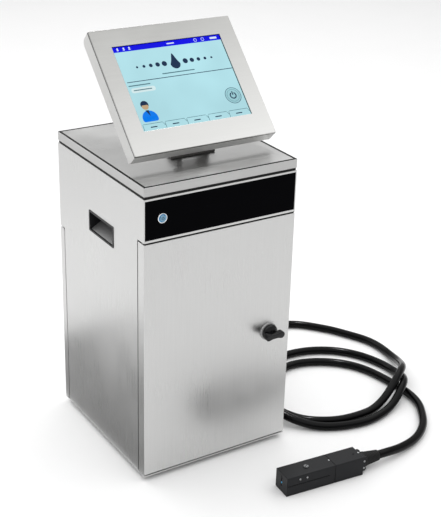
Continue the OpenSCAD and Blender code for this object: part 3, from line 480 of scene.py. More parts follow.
def geometryTree(name, sizes):
    tree = bpy.data.node_groups.new(name, "GeometryNodeTree")
    tree.interface.new_socket("Geometry", in_out="INPUT", socket_type="NodeSocketGeometry")
    tree.interface.new_socket("Geometry", in_out="OUTPUT", socket_type="NodeSocketGeometry")
    kinds = {int: "NodeSocketInt", float: "NodeSocketFloat"}
    for label, value in sizes.items():
        socket = tree.interface.new_socket(label, in_out="INPUT", socket_type=kinds[type(value)])
        socket.default_value = value
    return tree, addNode(tree, "NodeGroupInput"), addNode(tree, "NodeGroupOutput")


# Runs a tree on an object and keeps the result as a plain mesh of its own.
def grow(name, source, tree, sizes, body):
    modifier = source.modifiers.new(name, "NODES")
    modifier.node_group = tree
    for item in tree.interface.items_tree:
        if item.in_out == "INPUT" and item.name in sizes:
            modifier[item.identifier] = sizes[item.name]
    bpy.context.view_layer.update()
    ready = source.evaluated_get(bpy.context.evaluated_depsgraph_get())
    made = meshObject(name, bpy.data.meshes.new_from_object(ready))
    source.modifiers.remove(modifier)
    bpy.data.objects.remove(source)
    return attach(made, body)


def lineObject(name, lines):
    curve = bpy.data.curves.new(name, "CURVE")
    curve.dimensions = "3D"
    for line in lines:
        spline = curve.splines.new("POLY")
        spline.points.add(len(line) - 1)
        spline.points.foreach_set("co", np.c_[line, np.ones(len(line))].ravel())
    return meshObject(name, curve)


# Ends a tree with a round tube of one finish along the lines that it is given
def coatLines(tree, given, out, lines, finish):
    ring = addNode(tree, "GeometryNodeCurvePrimitiveCircle",
                   {"Resolution": given.outputs["Sides"], "Radius": given.outputs["Radius"]})
    tube = addNode(tree, "GeometryNodeCurveToMesh",
                   {"Curve": lines, "Profile Curve": ring.outputs[0], "Fill Caps": True})
    real = addNode(tree, "GeometryNodeRealizeInstances", {"Geometry": tube.outputs[0]})
    coat = addNode(tree, "GeometryNodeSetMaterial", {"Geometry": real.outputs[0], "Material": finish})
    tree.links.new(coat.outputs[0], out.inputs[0])
    return tree


def ribbedTree():
    sizes = {"Ring step": 0.001, "Radius": 0.01, "Rib pitch": 0.003, "Rib depth": 0.05, "Sides": 12}
    tree, given, out = geometryTree("ribbedHose", sizes)
    even = addNode(tree, "GeometryNodeResampleCurve",
                   {"Curve": given.outputs["Geometry"], "Length": given.outputs["Ring step"]},
                   mode="LENGTH")
    along = addNode(tree, "GeometryNodeSplineParameter")
    turns = addNode(tree, "ShaderNodeMath", {0: along.outputs["Length"],
                                             1: given.outputs["Rib pitch"]}, operation="DIVIDE")
    angle = addNode(tree, "ShaderNodeMath", {0: turns.outputs[0], 1: 2 * math.pi},
                    operation="MULTIPLY")
    wave = addNode(tree, "ShaderNodeMath", {0: angle.outputs[0]}, operation="COSINE")
    lift = addNode(tree, "ShaderNodeMath", {0: wave.outputs[0], 1: given.outputs["Rib depth"],
                                            2: 1.0}, operation="MULTIPLY_ADD")
    swell = addNode(tree, "GeometryNodeSetCurveRadius",
                    {"Curve": even.outputs[0], "Radius": lift.outputs[0]})
    return coatLines(tree, given, out, swell.outputs[0], looks["hoseSkin"])


def makeHose(h):
    line = smoothLine(hoseRoute, h["step"])
    line[:, 2] = np.maximum(line[:, 2], h["floor"])
    sizes = {"Ring step": h["ringStep"], "Radius": h["diameter"] / 2 / (1 + h["ribDepth"]),
             "Rib pitch": h["ribPitch"], "Rib depth": h["ribDepth"], "Sides": h["sides"]}
    made = grow("hose", lineObject("hoseLine", [line]), ribbedTree(), sizes, "cabinet")
    made.data.shade_smooth()
    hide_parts("umbilical_hose")


makeHose(hose)

# floor, backdrop and lights

studio = {"floorTone": (0.92, 0.92, 0.92), "floorHalf": 12.0, "sky": (1.0, 1.0, 1.0), "skyPower": 0.60}


def makeStudio(s):
    half = s["floorHalf"]
    mesh = bpy.data.meshes.new("floor")
    mesh.from_pydata([(-half, -half, 0), (half, -half, 0), (half, half, 0), (-half, half, 0)], [],
                     [(0, 1, 2, 3)])
    paper = surface("floorPaper", s["floorTone"], (0.7, 0.8), (40, 40, 40), 0.004, 0.0)
    mesh.materials.append(paper)
    meshObject("floor", mesh)
    world = bpy.data.worlds.new("studio")
    world.use_nodes = True
    background = world.node_tree.nodes["Background"]
    background.inputs[0].default_value = (*s["sky"], 1)
    background.inputs[1].default_value = s["skyPower"]
    bpy.context.scene.world = world
    bpy.context.scene.view_settings.view_transform = "Standard"


# glow is how bright the lamp's face is
lamps = {
    "spark": {"at": (0.45, 0.35, 2.2), "to": (0.35, -0.05, 0), "size": (0.22, 0.22), "glow": 110.0,
              "glossOnly": True},
    "overhead": {"at": (0.0, 0.4, 3.0), "to": (0.0, 0.41, 0), "size": (7.0, 7.0), "glow": 1.0},
    "backCard": {"at": (-0.45, 0.95, 0.95), "to": (-0.2, 0.1, 0.56), "size": (1.0, 0.8), "glow": 1.0},
}


def makeLamp(name, l):
    data = bpy.data.lights.new(name, "AREA")
    data.shape = "RECTANGLE"
    data.size, data.size_y = l["size"]
    data.energy = l["glow"] * math.pi * data.size * data.size_y
    lamp = bpy.data.objects.new(name, data)
    bpy.context.scene.collection.objects.link(lamp)
    lamp.location = l["at"]
    aim = Vector(l["to"]) - Vector(l["at"])
    lamp.rotation_euler = aim.to_track_quat("-Z", "Y").to_euler()
    lamp.visible_camera = False
    lamp.visible_diffuse = not l.get("glossOnly", False)


# A dark card beside the left wall, which only reflections see.
darkCard = {"x": (-0.42, -0.16), "y": (-0.17, 0.42), "z": 0.002}


def makeDarkCard(c):
    (x0, x1), (y0, y1), z = c["x"], c["y"], c["z"]
    mesh = bpy.data.meshes.new("darkCard")
    mesh.from_pydata([(x0, y0, z), (x1, y0, z), (x1, y1, z), (x0, y1, z)], [], [(0, 1, 2, 3)])
    mesh.materials.append(looks["cardGrey"])
    card = meshObject("darkCard", mesh)
    card.visible_camera = card.visible_diffuse = card.visible_shadow = False


makeDarkCard(darkCard)
makeStudio(studio)
for lampName, lamp in lamps.items():
    makeLamp(lampName, lamp)
print("studio done")

# screws are one prototype spread over a list of spots by one tree

screw = {"head": 3.0, "height": 1.6, "recess": 1.9, "sides": 20}
prototypes = []


def keepPrototype(name, bm, finishes, smooth=40):
    prototypes.append(finishMesh(name, bm, finishes, smooth))
    return prototypes[-1]


def screwPrototype(name, s, finish, slotted=False):
    bm = bmesh.new()
    r, h = s["head"], s["height"]
    addTurned(bm, [(0, -0.4), (r, -0.4), (r, h * 0.45), (r * 0.86, h * 0.85), (r * 0.6, h), (0, h)],
              steps=s["sides"])
    half = s["recess"]
    # the recess is drawn as dark bars on the head: painted shade of the hollow
    bars = [(half * 2, 0.5)] if slotted else [(half, 0.35), (0.35, half)]
    for x, y in bars:
        addBlock(bm, (-x, -y, h - 0.5), (x, y, h + 0.03), skin=1)
    return keepPrototype(name, bm, [finish, looks["seam"]])


# Copies of a prototype on every point of a mesh, with one of its axes along the point's "facing"
def copiesTree(prototype, axis):
    tree, given, out = geometryTree("copiesOf" + prototype.name, {"Size": 1.0})
    thing = addNode(tree, "GeometryNodeObjectInfo", {"Object": prototype})
    way = addNode(tree, "GeometryNodeInputNamedAttribute", {"Name": "facing"},
                  data_type="FLOAT_VECTOR")
    turn = addNode(tree, "FunctionNodeAlignRotationToVector", {"Vector": way.outputs[0]}, axis=axis)
    copies = addNode(tree, "GeometryNodeInstanceOnPoints",
                     {"Points": given.outputs["Geometry"], "Instance": thing.outputs["Geometry"],
                      "Rotation": turn.outputs[0], "Scale": given.outputs["Size"]})
    real = addNode(tree, "GeometryNodeRealizeInstances", {"Geometry": copies.outputs[0]})
    tree.links.new(real.outputs[0], out.inputs[0])
    return tree


# spots is a list of (point, direction), in millimetres; the result is one piece
def spread(name, prototype, spots, body, size=1.0, axis="Z"):
    mesh = bpy.data.meshes.new(name + "Spots")
    mesh.from_pydata([Vector(p) * mm for p, d in spots], [], [])
    way = mesh.attributes.new("facing", "FLOAT_VECTOR", "POINT")
    way.data.foreach_set("vector", [c for p, d in spots for c in d])
    return grow(name, meshObject(name + "Spots", mesh), copiesTree(prototype, axis), {"Size": size},
                body)


# spots round an axis, each facing away from it
def ringSpots(centre, axis, radius, count, start=0.0):
    spots = []
    for k in range(count):
        a = math.radians(start) + 2 * math.pi * k / count
        way = Vector({"X": (0, math.cos(a), math.sin(a)), "Y": (math.cos(a), 0, math.sin(a)),
                      "Z": (math.cos(a), math.sin(a), 0)}[axis])
        spots.append((Vector(centre) + way * radius, way))
    return spots


panScrew = screwPrototype("panScrew", screw, looks["plated"])
darkScrew = screwPrototype("darkScrew", {**screw, "head": 2.4}, looks["latchGloss"])

# cabinet: lid, walls, doors, front panel

# the door's gap strip sizes below are for dark strips that paint the shade in the front door's gaps
cabinet = {"lidEdge": 1.0, "lineWidth": 4.6, "lineInset": 0.6, "lineSink": 0.4, "lineProud": 0.12,
           "wallEdge": 0.5, "doorEdge": 0.9, "seam": 1.5, "gapShadeInset": 0.5, "gapShadeAhead": (1, 6),
           "gapShadeRise": (0.9, 3), "stripReach": (0.02, 2), "gapShadeStrip": (-0.25, 0.05),
           "edgeShadeStrip": (-0.3, 0.2),
           "edges": {"control_panel": 0.4, "base_pan": 0.5, "rubber_feet": 1.0, "stand_inserts": 0.3,
                     "compartment_shelf": 0.4, "rear_panel": 0.4, "lid_seal": 0.6, "door_gasket": 1.0,
                     "door_pivots": 0.3, "latch_cam": 0.4, "hydraulics_plate": 0.5,
                     "power_supply": 0.8, "fan_housing": 0.5, "mains_inlet": 0.5,
                     "switch_frame": 0.6, "switch_rocker": 0.4, "rear_latch_upper": 0.3,
                     "rear_latch_lower": 0.3, "valve_manifold": 1.0, "head_deck": 0.4,
                     "nozzle_unit": 0.25, "deflector_plates": 0.25, "ink_gutter": 0.2}}


def makeCabinet(c):
    softened("lid", c["lidEdge"])
    softened("cabinet_shell", c["wallEdge"])
    softened("front_door", c["doorEdge"])
    softened("rear_door", c["doorEdge"])
    for node, width in c["edges"].items():
        softened(node, width)
    low, high = span("lid")
    bm = bmesh.new()
    outer, inner = c["lineInset"], c["lineInset"] + c["lineWidth"]
    z0, z1 = high.z - c["lineSink"], high.z + c["lineProud"]
    for side in (-1, 1):
        x0, x1 = sorted((side * (high.x - outer), side * (high.x - inner)))
        addBlock(bm, (x0, low.y + outer, z0), (x1, high.y - outer, z1))
        y0, y1 = sorted((side * (high.y - outer), side * (high.y - inner)))
        addBlock(bm, (low.x + inner, y0, z0), (high.x - inner, y1, z1))
    settle("lidEdgeLine", bm, [looks["seam"]], "cabinet")
    # painted shade in the seams round the front door: dark strips on the cabinet and on the door that make the
    # gaps read dark
    doorLow, doorHigh = span("front_door")

    def sideStrips(bm, y, ends, z0, z1):
        for side in (-1, 1):
            x0, x1 = sorted(side * (doorHigh.x - reach) for reach in c["stripReach"])
            addBlock(bm, (x0, y + ends[0], z0), (x1, y + ends[1], z1))

    bm = bmesh.new()
    (y0, y1), (z0, z1) = c["gapShadeAhead"], c["gapShadeRise"]
    addBlock(bm, (doorLow.x + c["gapShadeInset"], doorLow.y + y0, doorHigh.z + z0),
             (doorHigh.x - c["gapShadeInset"], doorLow.y + y1, doorHigh.z + z1))
    sideStrips(bm, doorHigh.y + c["seam"], c["gapShadeStrip"], doorLow.z, doorHigh.z)
    settle("doorSeal", bm, [looks["seam"]], "cabinet")
    # a dark liner on the door's edges: painted shade of its side gaps
    bm = bmesh.new()
    sideStrips(bm, doorHigh.y, c["edgeShadeStrip"], doorLow.z + 1, doorHigh.z - 1)
    settle("doorEdging", bm, [looks["seam"]], bodyOf["front_door"])


makeCabinet(cabinet)

# power button on the front panel

button = {"rim": 9.0, "lip": 1.3, "ring": 6.9, "cap": 5.8, "seat": 1.5, "sink": 1.2, "capLength": 12,
          "barrel": [(0, -17.5), (7.9, -17.5), (7.9, -1.2), (6.9, -1.2), (6.9, -1.0), (0, -1.0)],
          "mark": (2.5, 1.9), "bar": ((-0.35, 0.5, -0.3), (0.35, 3.1, 0.12)), "steps": 56}


def makeButton(b):
    low = span("button_barrel")[0]
    capLow, capHigh = span("button_cap")
    at = Vector(((capLow.x + capHigh.x) / 2, low.y, (capLow.z + capHigh.z) / 2))
    front = facing(at + Vector((0, b["seat"], 0)), (0, -1, 0))
    bm = bmesh.new()
    r, lip, hole, sink, cap = b["rim"], b["lip"], b["ring"], b["sink"], b["cap"]
    addTurned(bm, [(hole, -sink), (r, -sink), (r, 0.5), (r - 0.5, lip), (hole + 0.5, lip + 0.2),
                   (hole, lip - 0.3), (hole, -sink)], front, b["steps"])
    addTurned(bm, b["barrel"], front, b["steps"])
    barrel = settle("buttonRim", bm, [looks["chrome"]], bodyOf["button_barrel"])
    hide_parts("button_barrel")
    bm = bmesh.new()
    addTurned(bm, [(cap + 0.15, -0.9), (hole - 0.05, -0.9), (hole - 0.05, 0.7), (cap + 0.5, 0.8),
                   (cap + 0.15, 0.2), (cap + 0.15, -0.9)], front, b["steps"])
    settle("buttonGlow", bm, [looks["buttonBlue"]], bodyOf["button_barrel"])
    # the cap, with a plain power symbol
    bm = bmesh.new()
    face = facing(Vector((at.x, capLow.y, at.z)), (0, -1, 0))
    addTurned(bm, [(0, -b["capLength"]), (cap, -b["capLength"]), (cap, -0.9), (cap - 0.5, -0.2),
                   (cap * 0.5, 0.0), (0, 0.05)], face, b["steps"])
    outer, inner = b["mark"]
    addPlate(bm, arc(0, 0, outer, 120, 420, 20) + arc(0, 0, inner, 420, 120, 20), -0.3, 0.12, face,
             skin=1)
    addBlock(bm, *b["bar"], face, skin=1)
    made = settle("buttonCap", bm, [looks["capSteel"], looks["panelGloss"]],
                  bodyOf["button_cap"])
    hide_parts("button_cap")


makeButton(button)

# front latch: ring, hub and wing handle

latch = {"hub": 15.4, "shaft": 6, "reach": 22.0, "wingLength": 40.0, "wingWidth": 13.0,
         "wingWaist": 9.0, "wingLow": 10.6, "shoulder": (3, 0.6), "hollow": (7, 0.3), "ringEdge": 0.7,
         "dome": [(-0.6, 0), (0, 0.8), (0, 3.2), (-0.4, 4.6), (-1.4, 5.9), (-3.4, 7.2), (-5.6, 8.0)],
         "neck": [(8.0, 9), (8.0, 12), (0, 12)], "steps": 56}


def wingOutline(l):
    # a bar with round ends, drawn in at its middle
    half, r, waist = l["wingLength"] / 2, l["wingWidth"] / 2, l["wingWaist"] / 2
    right = arc(half - r, 0, r, -90, 90, 12)
    (back, drop), (reach, rise) = l["shoulder"], l["hollow"]
    top = [(half - r - back, r - drop), (reach, waist + rise), (0, waist), (-reach, waist + rise),
           (-half + r + back, r - drop)]
    left = arc(-half + r, 0, r, 90, 270, 12)
    return right + top + left + [(-x, -y) for x, y in top]


def makeLatch(l):
    low, high = span("latch_knob")
    ringLow, ringHigh = span("latch_barrel")
    x, z = (ringLow.x + ringHigh.x) / 2, (ringLow.z + ringHigh.z) / 2
    hub = facing((x, low.y + l["reach"], z), (0, -1, 0))
    foot = high.y - low.y - l["reach"]
    bm = bmesh.new()
    addTurned(bm, [(0, -foot), (l["shaft"], -foot), (l["shaft"], 0)]
              + [(l["hub"] + r, h) for r, h in l["dome"]] + l["neck"], hub, l["steps"])
    addPlate(bm, wingOutline(l), l["wingLow"], l["reach"], hub, soft=1.6, steps=3)
    made = settle("latchHandle", bm, [looks["latchGloss"]], bodyOf["latch_knob"],
                  smooth=50)
    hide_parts("latch_knob")
    softened("latch_barrel", l["ringEdge"])


makeLatch(latch)

# handle recesses in the side walls

grip = {"length": 96.0, "height": 42.0, "rim": 2.6, "corner": 2.5, "inner": 1.6, "wall": 1.8,
        "depth": 25.8, "proud": 0.9, "trim": 2, "margin": 4, "round": 0.4, "floor": 2, "slope": 12}


def makeGrip(side, node, g):
    low, high = span(node)
    wall = high.x - 1 if side > 0 else low.x + 1
    centre = Vector((wall, (low.y + high.y) / 2, (low.z + high.z) / 2))
    # the cup's own frame: X along the wall, Y up and Z out of the wall
    place = Matrix.Translation(centre) @ Matrix(((0, 0, side, 0), (side, 0, 0, 0),
                                                 (0, 1, 0, 0), (0, 0, 0, 1)))
    bm = bmesh.new()
    mouth = [g[k] - 2 * g["rim"] - g["margin"] for k in ("length", "height")]
    size = [g[k] - g["trim"] for k in ("length", "height")]
    edge, floor = g["round"], g["floor"] - g["depth"]
    outer = roundRect(0, 0, *size, g["corner"])
    top = roundRect(0, 0, size[0] - 2 * edge, size[1] - 2 * edge, g["corner"] - edge)
    hole = roundRect(0, 0, *mouth, g["inner"])
    shell = roundRect(0, 0, mouth[0] + g["wall"], mouth[1] + g["wall"], g["inner"] + edge)
    loops = [(outer, 0.0), (outer, g["proud"] - edge), (top, g["proud"]), (hole, g["proud"]),
             (hole, floor), (shell, floor)]
    part = bmesh.new()
    rings = [[part.verts.new((x, y, z)) for x, y in points] for points, z in loops]
    rings.append([part.verts.new((v.co.x, v.co.y, -g["depth"])) for v in rings[-1]])
    rings.append([part.verts.new((x, y, 0)) for x, y in shell])
    count = len(outer)
    for i in (0, 1, 2, 3):
        for k in range(count):
            n = (k + 1) % count
            part.faces.new((rings[i][k], rings[i][n], rings[i + 1][n], rings[i + 1][k]))
    part.faces.new(rings[4])
    for k in range(count):
        n = (k + 1) % count
        part.faces.new((rings[0][k], rings[0][n], rings[7][n], rings[7][k]))
        part.faces.new((rings[7][k], rings[7][n], rings[6][n], rings[6][k]))
    part.faces.new(rings[6])
    bmesh.ops.delete(part, geom=rings[5], context="VERTS")
    addPart(bm, part, place)
    half = mouth[0] / 2
    low = -mouth[1] / 2
    slope = [(low, -2), (low, floor), (low + g["slope"], floor)]
    wedge = Matrix(((0, 0, 1, 0), (1, 0, 0, 0), (0, 1, 0, 0), (0, 0, 0, 1)))
    addPlate(bm, slope, -half, half, place @ wedge, skin=1)
    # the cup's black walls partly paint the recess's shade, and its grey floor partly paints the light it reflects
    made = settle(node + ".cup", bm, [looks["blackPlastic"], looks["gripFloor"]], bodyOf[node])
    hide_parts(node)


makeGrip(-1, "left_handle_cup", grip)
makeGrip(1, "right_handle_cup", grip)
print("cabinet done")

# screen: its frame has X to the right, Y up the face and Z out of the face

screenUnit = {"lean": 44.6, "down": 80.0, "back": 44.7, "width": 276.0, "height": 236.6,
              "lcd": (212.0, 160.8), "lcdUp": 3.8, "glassFace": -2.2}
screenFrame = (Matrix.Translation(jointAt["screen_tilt"] / mm)
               @ Matrix.Rotation(math.radians(90 - screenUnit["lean"]), 4, "X")
               @ Matrix.Translation((0, screenUnit["down"], screenUnit["back"])))


def litTone(name, tone, power=0.98):
    material, tree, shader = newMaterial(name, {"Roughness": 0.25, "Specular IOR Level": 0.06,
                                                "Emission Strength": power})
    wide = noise(tree, (9, 9, 9), 2.0)
    shade = tuple(c * 0.86 for c in tone)
    mixed = mixTones(tree, remap(tree, wide, 0, 1), tone, shade)
    tree.links.new(mixed, shader.inputs["Emission Color"])
    shader.inputs["Base Color"].default_value = (*[c * 0.03 for c in tone], 1)
    return material


picture = {
    "field": litTone("lcdField", (0.47, 0.79, 0.86)),
    "bar": litTone("lcdBar", (0.0, 0.0, 0.80)),
    "ink": litTone("lcdInk", (0.01, 0.03, 0.08)),
    "line": litTone("lcdLine", (0.09, 0.20, 0.24)),
    "chip": litTone("lcdChip", (0.72, 0.90, 0.92)),
    "icon": litTone("lcdIcon", (0.75, 0.85, 1.0)),
    "blue": litTone("lcdBlue", (0.0, 0.22, 0.95)),
    "skin": litTone("lcdTan", (0.60, 0.42, 0.24)),
    "disc": litTone("lcdDisc", (0.36, 0.66, 0.72)),
}
tones = list(picture)


# Flat shapes on the display; u and v run from 0 to 1 from its top left corner
def makePicture(unit):
    w, h = unit["lcd"]
    bm = bmesh.new()

    def spot(u, v):
        return (u - 0.5) * w, unit["lcdUp"] + (0.5 - v) * h

    def slab(points, tone, layer):
        z = unit["glassFace"] + 0.02
        addPlate(bm, points, z, z + 0.06 * (layer + 1), screenFrame, skin=tones.index(tone))

    def bar(u0, v0, u1, v1, tone, layer, round_=0.0):
        (x0, y1), (x1, y0) = spot(u0, v0), spot(u1, v1)
        if round_:
            slab(roundRect((x0 + x1) / 2, (y0 + y1) / 2, x1 - x0, y1 - y0, round_, 4), tone, layer)
        else:
            slab([(x0, y0), (x1, y0), (x1, y1), (x0, y1)], tone, layer)

    def disc(u, v, r, tone, layer):
        slab(arc(*spot(u, v), r, 0, 350, 35), tone, layer)

    def hoop(u, v, r, t, start, end, tone, layer):
        x, y = spot(u, v)
        slab(arc(x, y, r, start, end, 40) + arc(x, y, r - t, end, start, 40), tone, layer)

    bar(0.003, 0.003, 0.997, 0.997, "field", 0)
    bar(0.003, 0.003, 0.997, 0.064, "bar", 1)
    for u in (0.045, 0.10, 0.15):
        disc(u, 0.024, 1.6, "icon", 2)
        bar(u - 0.008, 0.036, u + 0.008, 0.048, "icon", 2)
    for u in (0.76, 0.83):
        hoop(u, 0.032, 3.2, 0.8, 0, 340, "icon", 2)
    bar(0.90, 0.020, 0.965, 0.044, "icon", 2, 0.8)
    bar(0.49, 0.026, 0.56, 0.040, "icon", 2, 0.8)
    # an ink drop between two rows of droplets stands in for the opening picture
    x, y = spot(0.5, 0.255)
    drop = [(x + 9.5 * math.cos(a) * (1 - 0.5 * max(0, math.sin(a))),
             y - 4 + 9.5 * math.sin(a) + 11 * max(0, math.sin(a)) ** 3)
            for a in (2 * math.pi * k / 40 for k in range(40))]
    slab(drop, "ink", 1)
    for k in range(1, 6):
        for side in (-1, 1):
            disc(0.5 + side * (0.035 + 0.062 * k), 0.262, 5.6 - 0.72 * k, "ink", 1)
    bar(0.35, 0.372, 0.65, 0.384, "line", 1, 0.8)
    bar(0.02, 0.420, 0.995, 0.428, "ink", 1)
    bar(0.02, 0.462, 0.215, 0.474, "line", 1, 0.8)
    bar(0.03, 0.497, 0.245, 0.553, "chip", 1, 4.0)
    bar(0.05, 0.519, 0.215, 0.530, "line", 2, 0.8)
    # the user: hair, face, shoulders and collar, all plain shapes
    x, y = spot(0.104, 0.785)
    slab(arc(x, y - 12, 14.5, 0, 180, 24) + roundRect(x, y - 13, 29, 8, 4, 5)[16:18], "blue", 1)
    slab(roundRect(x, y - 13.5, 29, 9, 4.2, 5), "blue", 1)
    disc(0.094, 0.700, 7.4, "ink", 1)
    x, y = spot(0.094, 0.718)
    slab(arc(x, y, 6.4, 180, 360, 20) + [(x + 5.4, y + 2.2), (x - 5.4, y + 2.2)], "skin", 2)
    x, y = spot(0.104, 0.785)
    slab([(x - 4.5, y + 3.2), (x + 1.5, y + 3.2), (x + 1.8, y - 8.5)], "ink", 2)
    disc(0.902, 0.748, 15.2, "disc", 1)
    hoop(0.902, 0.748, 15.6, 0.8, 0, 359, "ink", 2)
    hoop(0.902, 0.748, 11.8, 0.5, 0, 359, "line", 2)
    hoop(0.902, 0.748, 6.6, 2.1, 118, 422, "ink", 3)
    x, y = spot(0.902, 0.748)
    slab([(x - 1.0, y + 1.0), (x + 1.0, y + 1.0), (x + 1.0, y + 8.0), (x - 1.0, y + 8.0)], "ink", 3)
    for k in range(5):
        u = 0.012 + k * 0.197
        bar(u + 0.008, 0.918, u + 0.178, 0.923, "line", 1)
        bar(u, 0.926, u + 0.004, 0.994, "line", 1)
        slab([spot(u + 0.178, 0.918), spot(u + 0.178, 0.924), spot(u + 0.193, 0.960),
              spot(u + 0.197, 0.958)], "line", 1)
        bar(u + 0.062, 0.955, u + 0.122, 0.967, "ink", 1, 0.8)
    settle("displayPicture", bm, list(picture.values()), "screen")


def makeScreen(unit):
    softened("screen_housing", 0.6)
    softened("screen_bezel", 0.5)
    w, h = unit["width"], unit["height"]
    bm = bmesh.new()
    # painted shade in the gap between the face plate and the housing: dark strips round its edges
    for x0, x1, y0, y1 in ((-w / 2 - 0.12, -w / 2 + 0.5, -h / 2, h / 2),
                           (w / 2 - 0.5, w / 2 + 0.12, -h / 2, h / 2),
                           (-w / 2, w / 2, -h / 2 - 0.12, -h / 2 + 0.5),
                           (-w / 2, w / 2, h / 2 - 0.5, h / 2 + 0.12)):
        addBlock(bm, (x0, y0, -4.3), (x1, y1, -3.2), screenFrame)
    settle("bezelSeam", bm, [looks["seam"]], "screen")
    makePicture(unit)


makeScreen(screenUnit)
print("screen done")

# print head: its frame has X towards the hose, Y towards the cabinet and Z up

head = {"at": (47.4, -306.7, 0.0), "turn": -4.7, "cover": 100.0, "body": 60.0, "width": 40.0,
        "height": 38.0, "flange": 8.0, "boot": 36.0, "bootRise": 19.0, "edge": 0.7,
        "slit": ((1.6, 20.0), (88, 21.0)), "notch": ((-0.05, -1.2, 25.5), (0.4, 1.2, 33.5)),
        "lampAt": (0.3, 0, 19), "lamp": [(0, -0.5), (1.5, -0.5), (1.5, 0.2), (1.0, 0.5), (0, 0.6)],
        "smallScrew": {"head": 1.7, "height": 0.9, "recess": 1.0, "sides": 16},
        "thumbX": 49.5, "thumbDrop": 3.5, "thumbTurn": 0.5,
        "thumb": [(0, 0), (2.5, 0), (2.5, 3.7), (4.2, 3.7), (4.5, 4.0), (4.5, 5.2), (4.1, 5.6),
                  (0.6, 5.7), (0, 5.7)], "thumbSlot": ((-4.3, -0.6, 4.7), (4.3, 0.6, 5.75)),
        "bootFoot": [(0, 0), (13.6, 0), (14.0, 0.8), (14.0, 6.0), (13.2, 6.8)], "bootRings": 9,
        "ringStart": 7.5, "ringEnd": 2.0, "ringRadii": (13.0, 10.1), "ringDepth": 0.6}
headFrame = Matrix.Translation(head["at"]) @ Matrix.Rotation(math.radians(head["turn"]), 4, "Z")


def onHead(point):
    return headFrame @ Vector(point)


def headWay(direction):
    return headFrame.to_3x3() @ Vector(direction)


def makeHead(h):
    for node in ("head_cover", "head_body", "head_flange"):
        softened(node, h["edge"])
    front = -h["width"] / 2
    # the slit and the notch are dark blocks on the cover: painted shade of the openings
    bm = bmesh.new()
    (x0, z0), (x1, z1) = h["slit"]
    addBlock(bm, (x0, front - 0.05, z0), (x1, front + 0.4, z1), headFrame)
    addBlock(bm, *h["notch"], headFrame)
    settle("coverSlits", bm, [looks["headSlit"]], bodyOf["head_cover"])
    bm = bmesh.new()
    addTurned(bm, h["lamp"], headFrame @ facing(h["lampAt"], (-1, 0, 0)), 20)
    settle("coverLamp", bm, [looks["buttonBlue"]], bodyOf["head_cover"])
    small = screwPrototype("smallScrew", h["smallScrew"], looks["plated"])
    spots = [((26.4, front - 0.1, 30), (0, -1, 0)), ((41, front - 0.1, 30), (0, -1, 0)),
             ((97.0, 0, h["height"] - 0.1), (0, 0, 1))]
    spread("coverScrews", small, [(onHead(p), headWay(d)) for p, d in spots],
           bodyOf["head_cover"])
    rear = h["cover"] + h["body"]
    spots = [((rear - 1.2, -1.9, h["height"] - 0.1), (0, 0, 1))]
    spots += [((rear + h["flange"] - 0.1, y, z), (1, 0, 0)) for y in (-12.5, 12.5) for z in (9, 27)]
    spots += [((rear + 4, front + 4.0, z), (0, -1, 0)) for z in (12, 26)]
    spread("bodyScrews", small, [(onHead(p), headWay(d)) for p, d in spots],
           bodyOf["head_body"], 1.15)
    # slotted screw of the cover
    top = facing(onHead((h["thumbX"], 0, h["height"] - h["thumbDrop"])), (0, 0, 1))
    bm = bmesh.new()
    addTurned(bm, h["thumb"], top, 36)
    # the slot is a dark bar: painted shade of the slot
    addBlock(bm, *h["thumbSlot"], top @ Matrix.Rotation(h["thumbTurn"], 4, "Z"), skin=1)
    made = settle("coverThumbScrew", bm, [looks["motor"], looks["seam"]],
                  bodyOf["cover_screw"])
    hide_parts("cover_screw")
    # tapered boot with rings
    bm = bmesh.new()
    length, rings, (wide, slim) = h["boot"], h["bootRings"], h["ringRadii"]
    step = (length - h["ringStart"] - h["ringEnd"]) / rings
    outline = list(h["bootFoot"])
    for k in range(rings):
        x, r = h["ringStart"] + k * step, wide + (slim - wide) * k / rings
        low = r - h["ringDepth"]
        outline += [(low, x), (r, x + step * 0.25), (r, x + step * 0.6), (low, x + step * 0.85)]
    outline += [(10.0, length - 1.0), (9.4, length - 0.1), (8.4, length - 0.1), (0, length - 0.6)]
    bootFrame = facing(onHead((rear + h["flange"], 0, h["bootRise"])), headWay((1, 0, 0)))
    addTurned(bm, outline, bootFrame, 40)
    made = settle("hoseBoot", bm, [looks["rubber"]], bodyOf["hose_boot"], smooth=50)
    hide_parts("hose_boot")


makeHead(head)
print("head done")

# rear: connectors, switch, fan, louvres and their screws

rear = {"port": 505.0, "sockets": (-125, -95, -65, -35), "usb": 2.0, "inlet": 112.0, "switch": 66.0,
        "rockerTilt": 8.0, "thread": 1.1,
        "panelScrews": [(x, z) for x in (-142, 142) for z in (390, 462, 530)] + [(0, 530), (0, 390)],
        "plate": (10, 400, 66, 440), "louvreX": (-60, 40), "louvreRows": 7, "louvreLow": 74.0,
        "louvrePitch": 14.0}
socket = {"flange": [(0, -10), (7.9, -10), (7.9, 0.0), (10, 0.0), (10, 2.4), (9.4, 3.0), (6.9, 3.0)],
          "thread": (7.0, 3.2, 11.2), "threadDepth": 0.45,
          "mouth": [(6.2, 12), (5.4, 12), (5.1, 8.2), (0, 8.2)],
          "insert": [(0, 7.5), (5.05, 7.5), (5.05, 9.6), (4.6, 9.9), (0, 9.9)],
          "pin": [(0, 0), (0.55, 0), (0.55, 1.6), (0.3, 1.9), (0, 1.95)],
          "pins": 5, "pinRing": 2.9, "pinFoot": 9.6, "nut": 10.4, "nutEnds": (0.2, 2.2)}
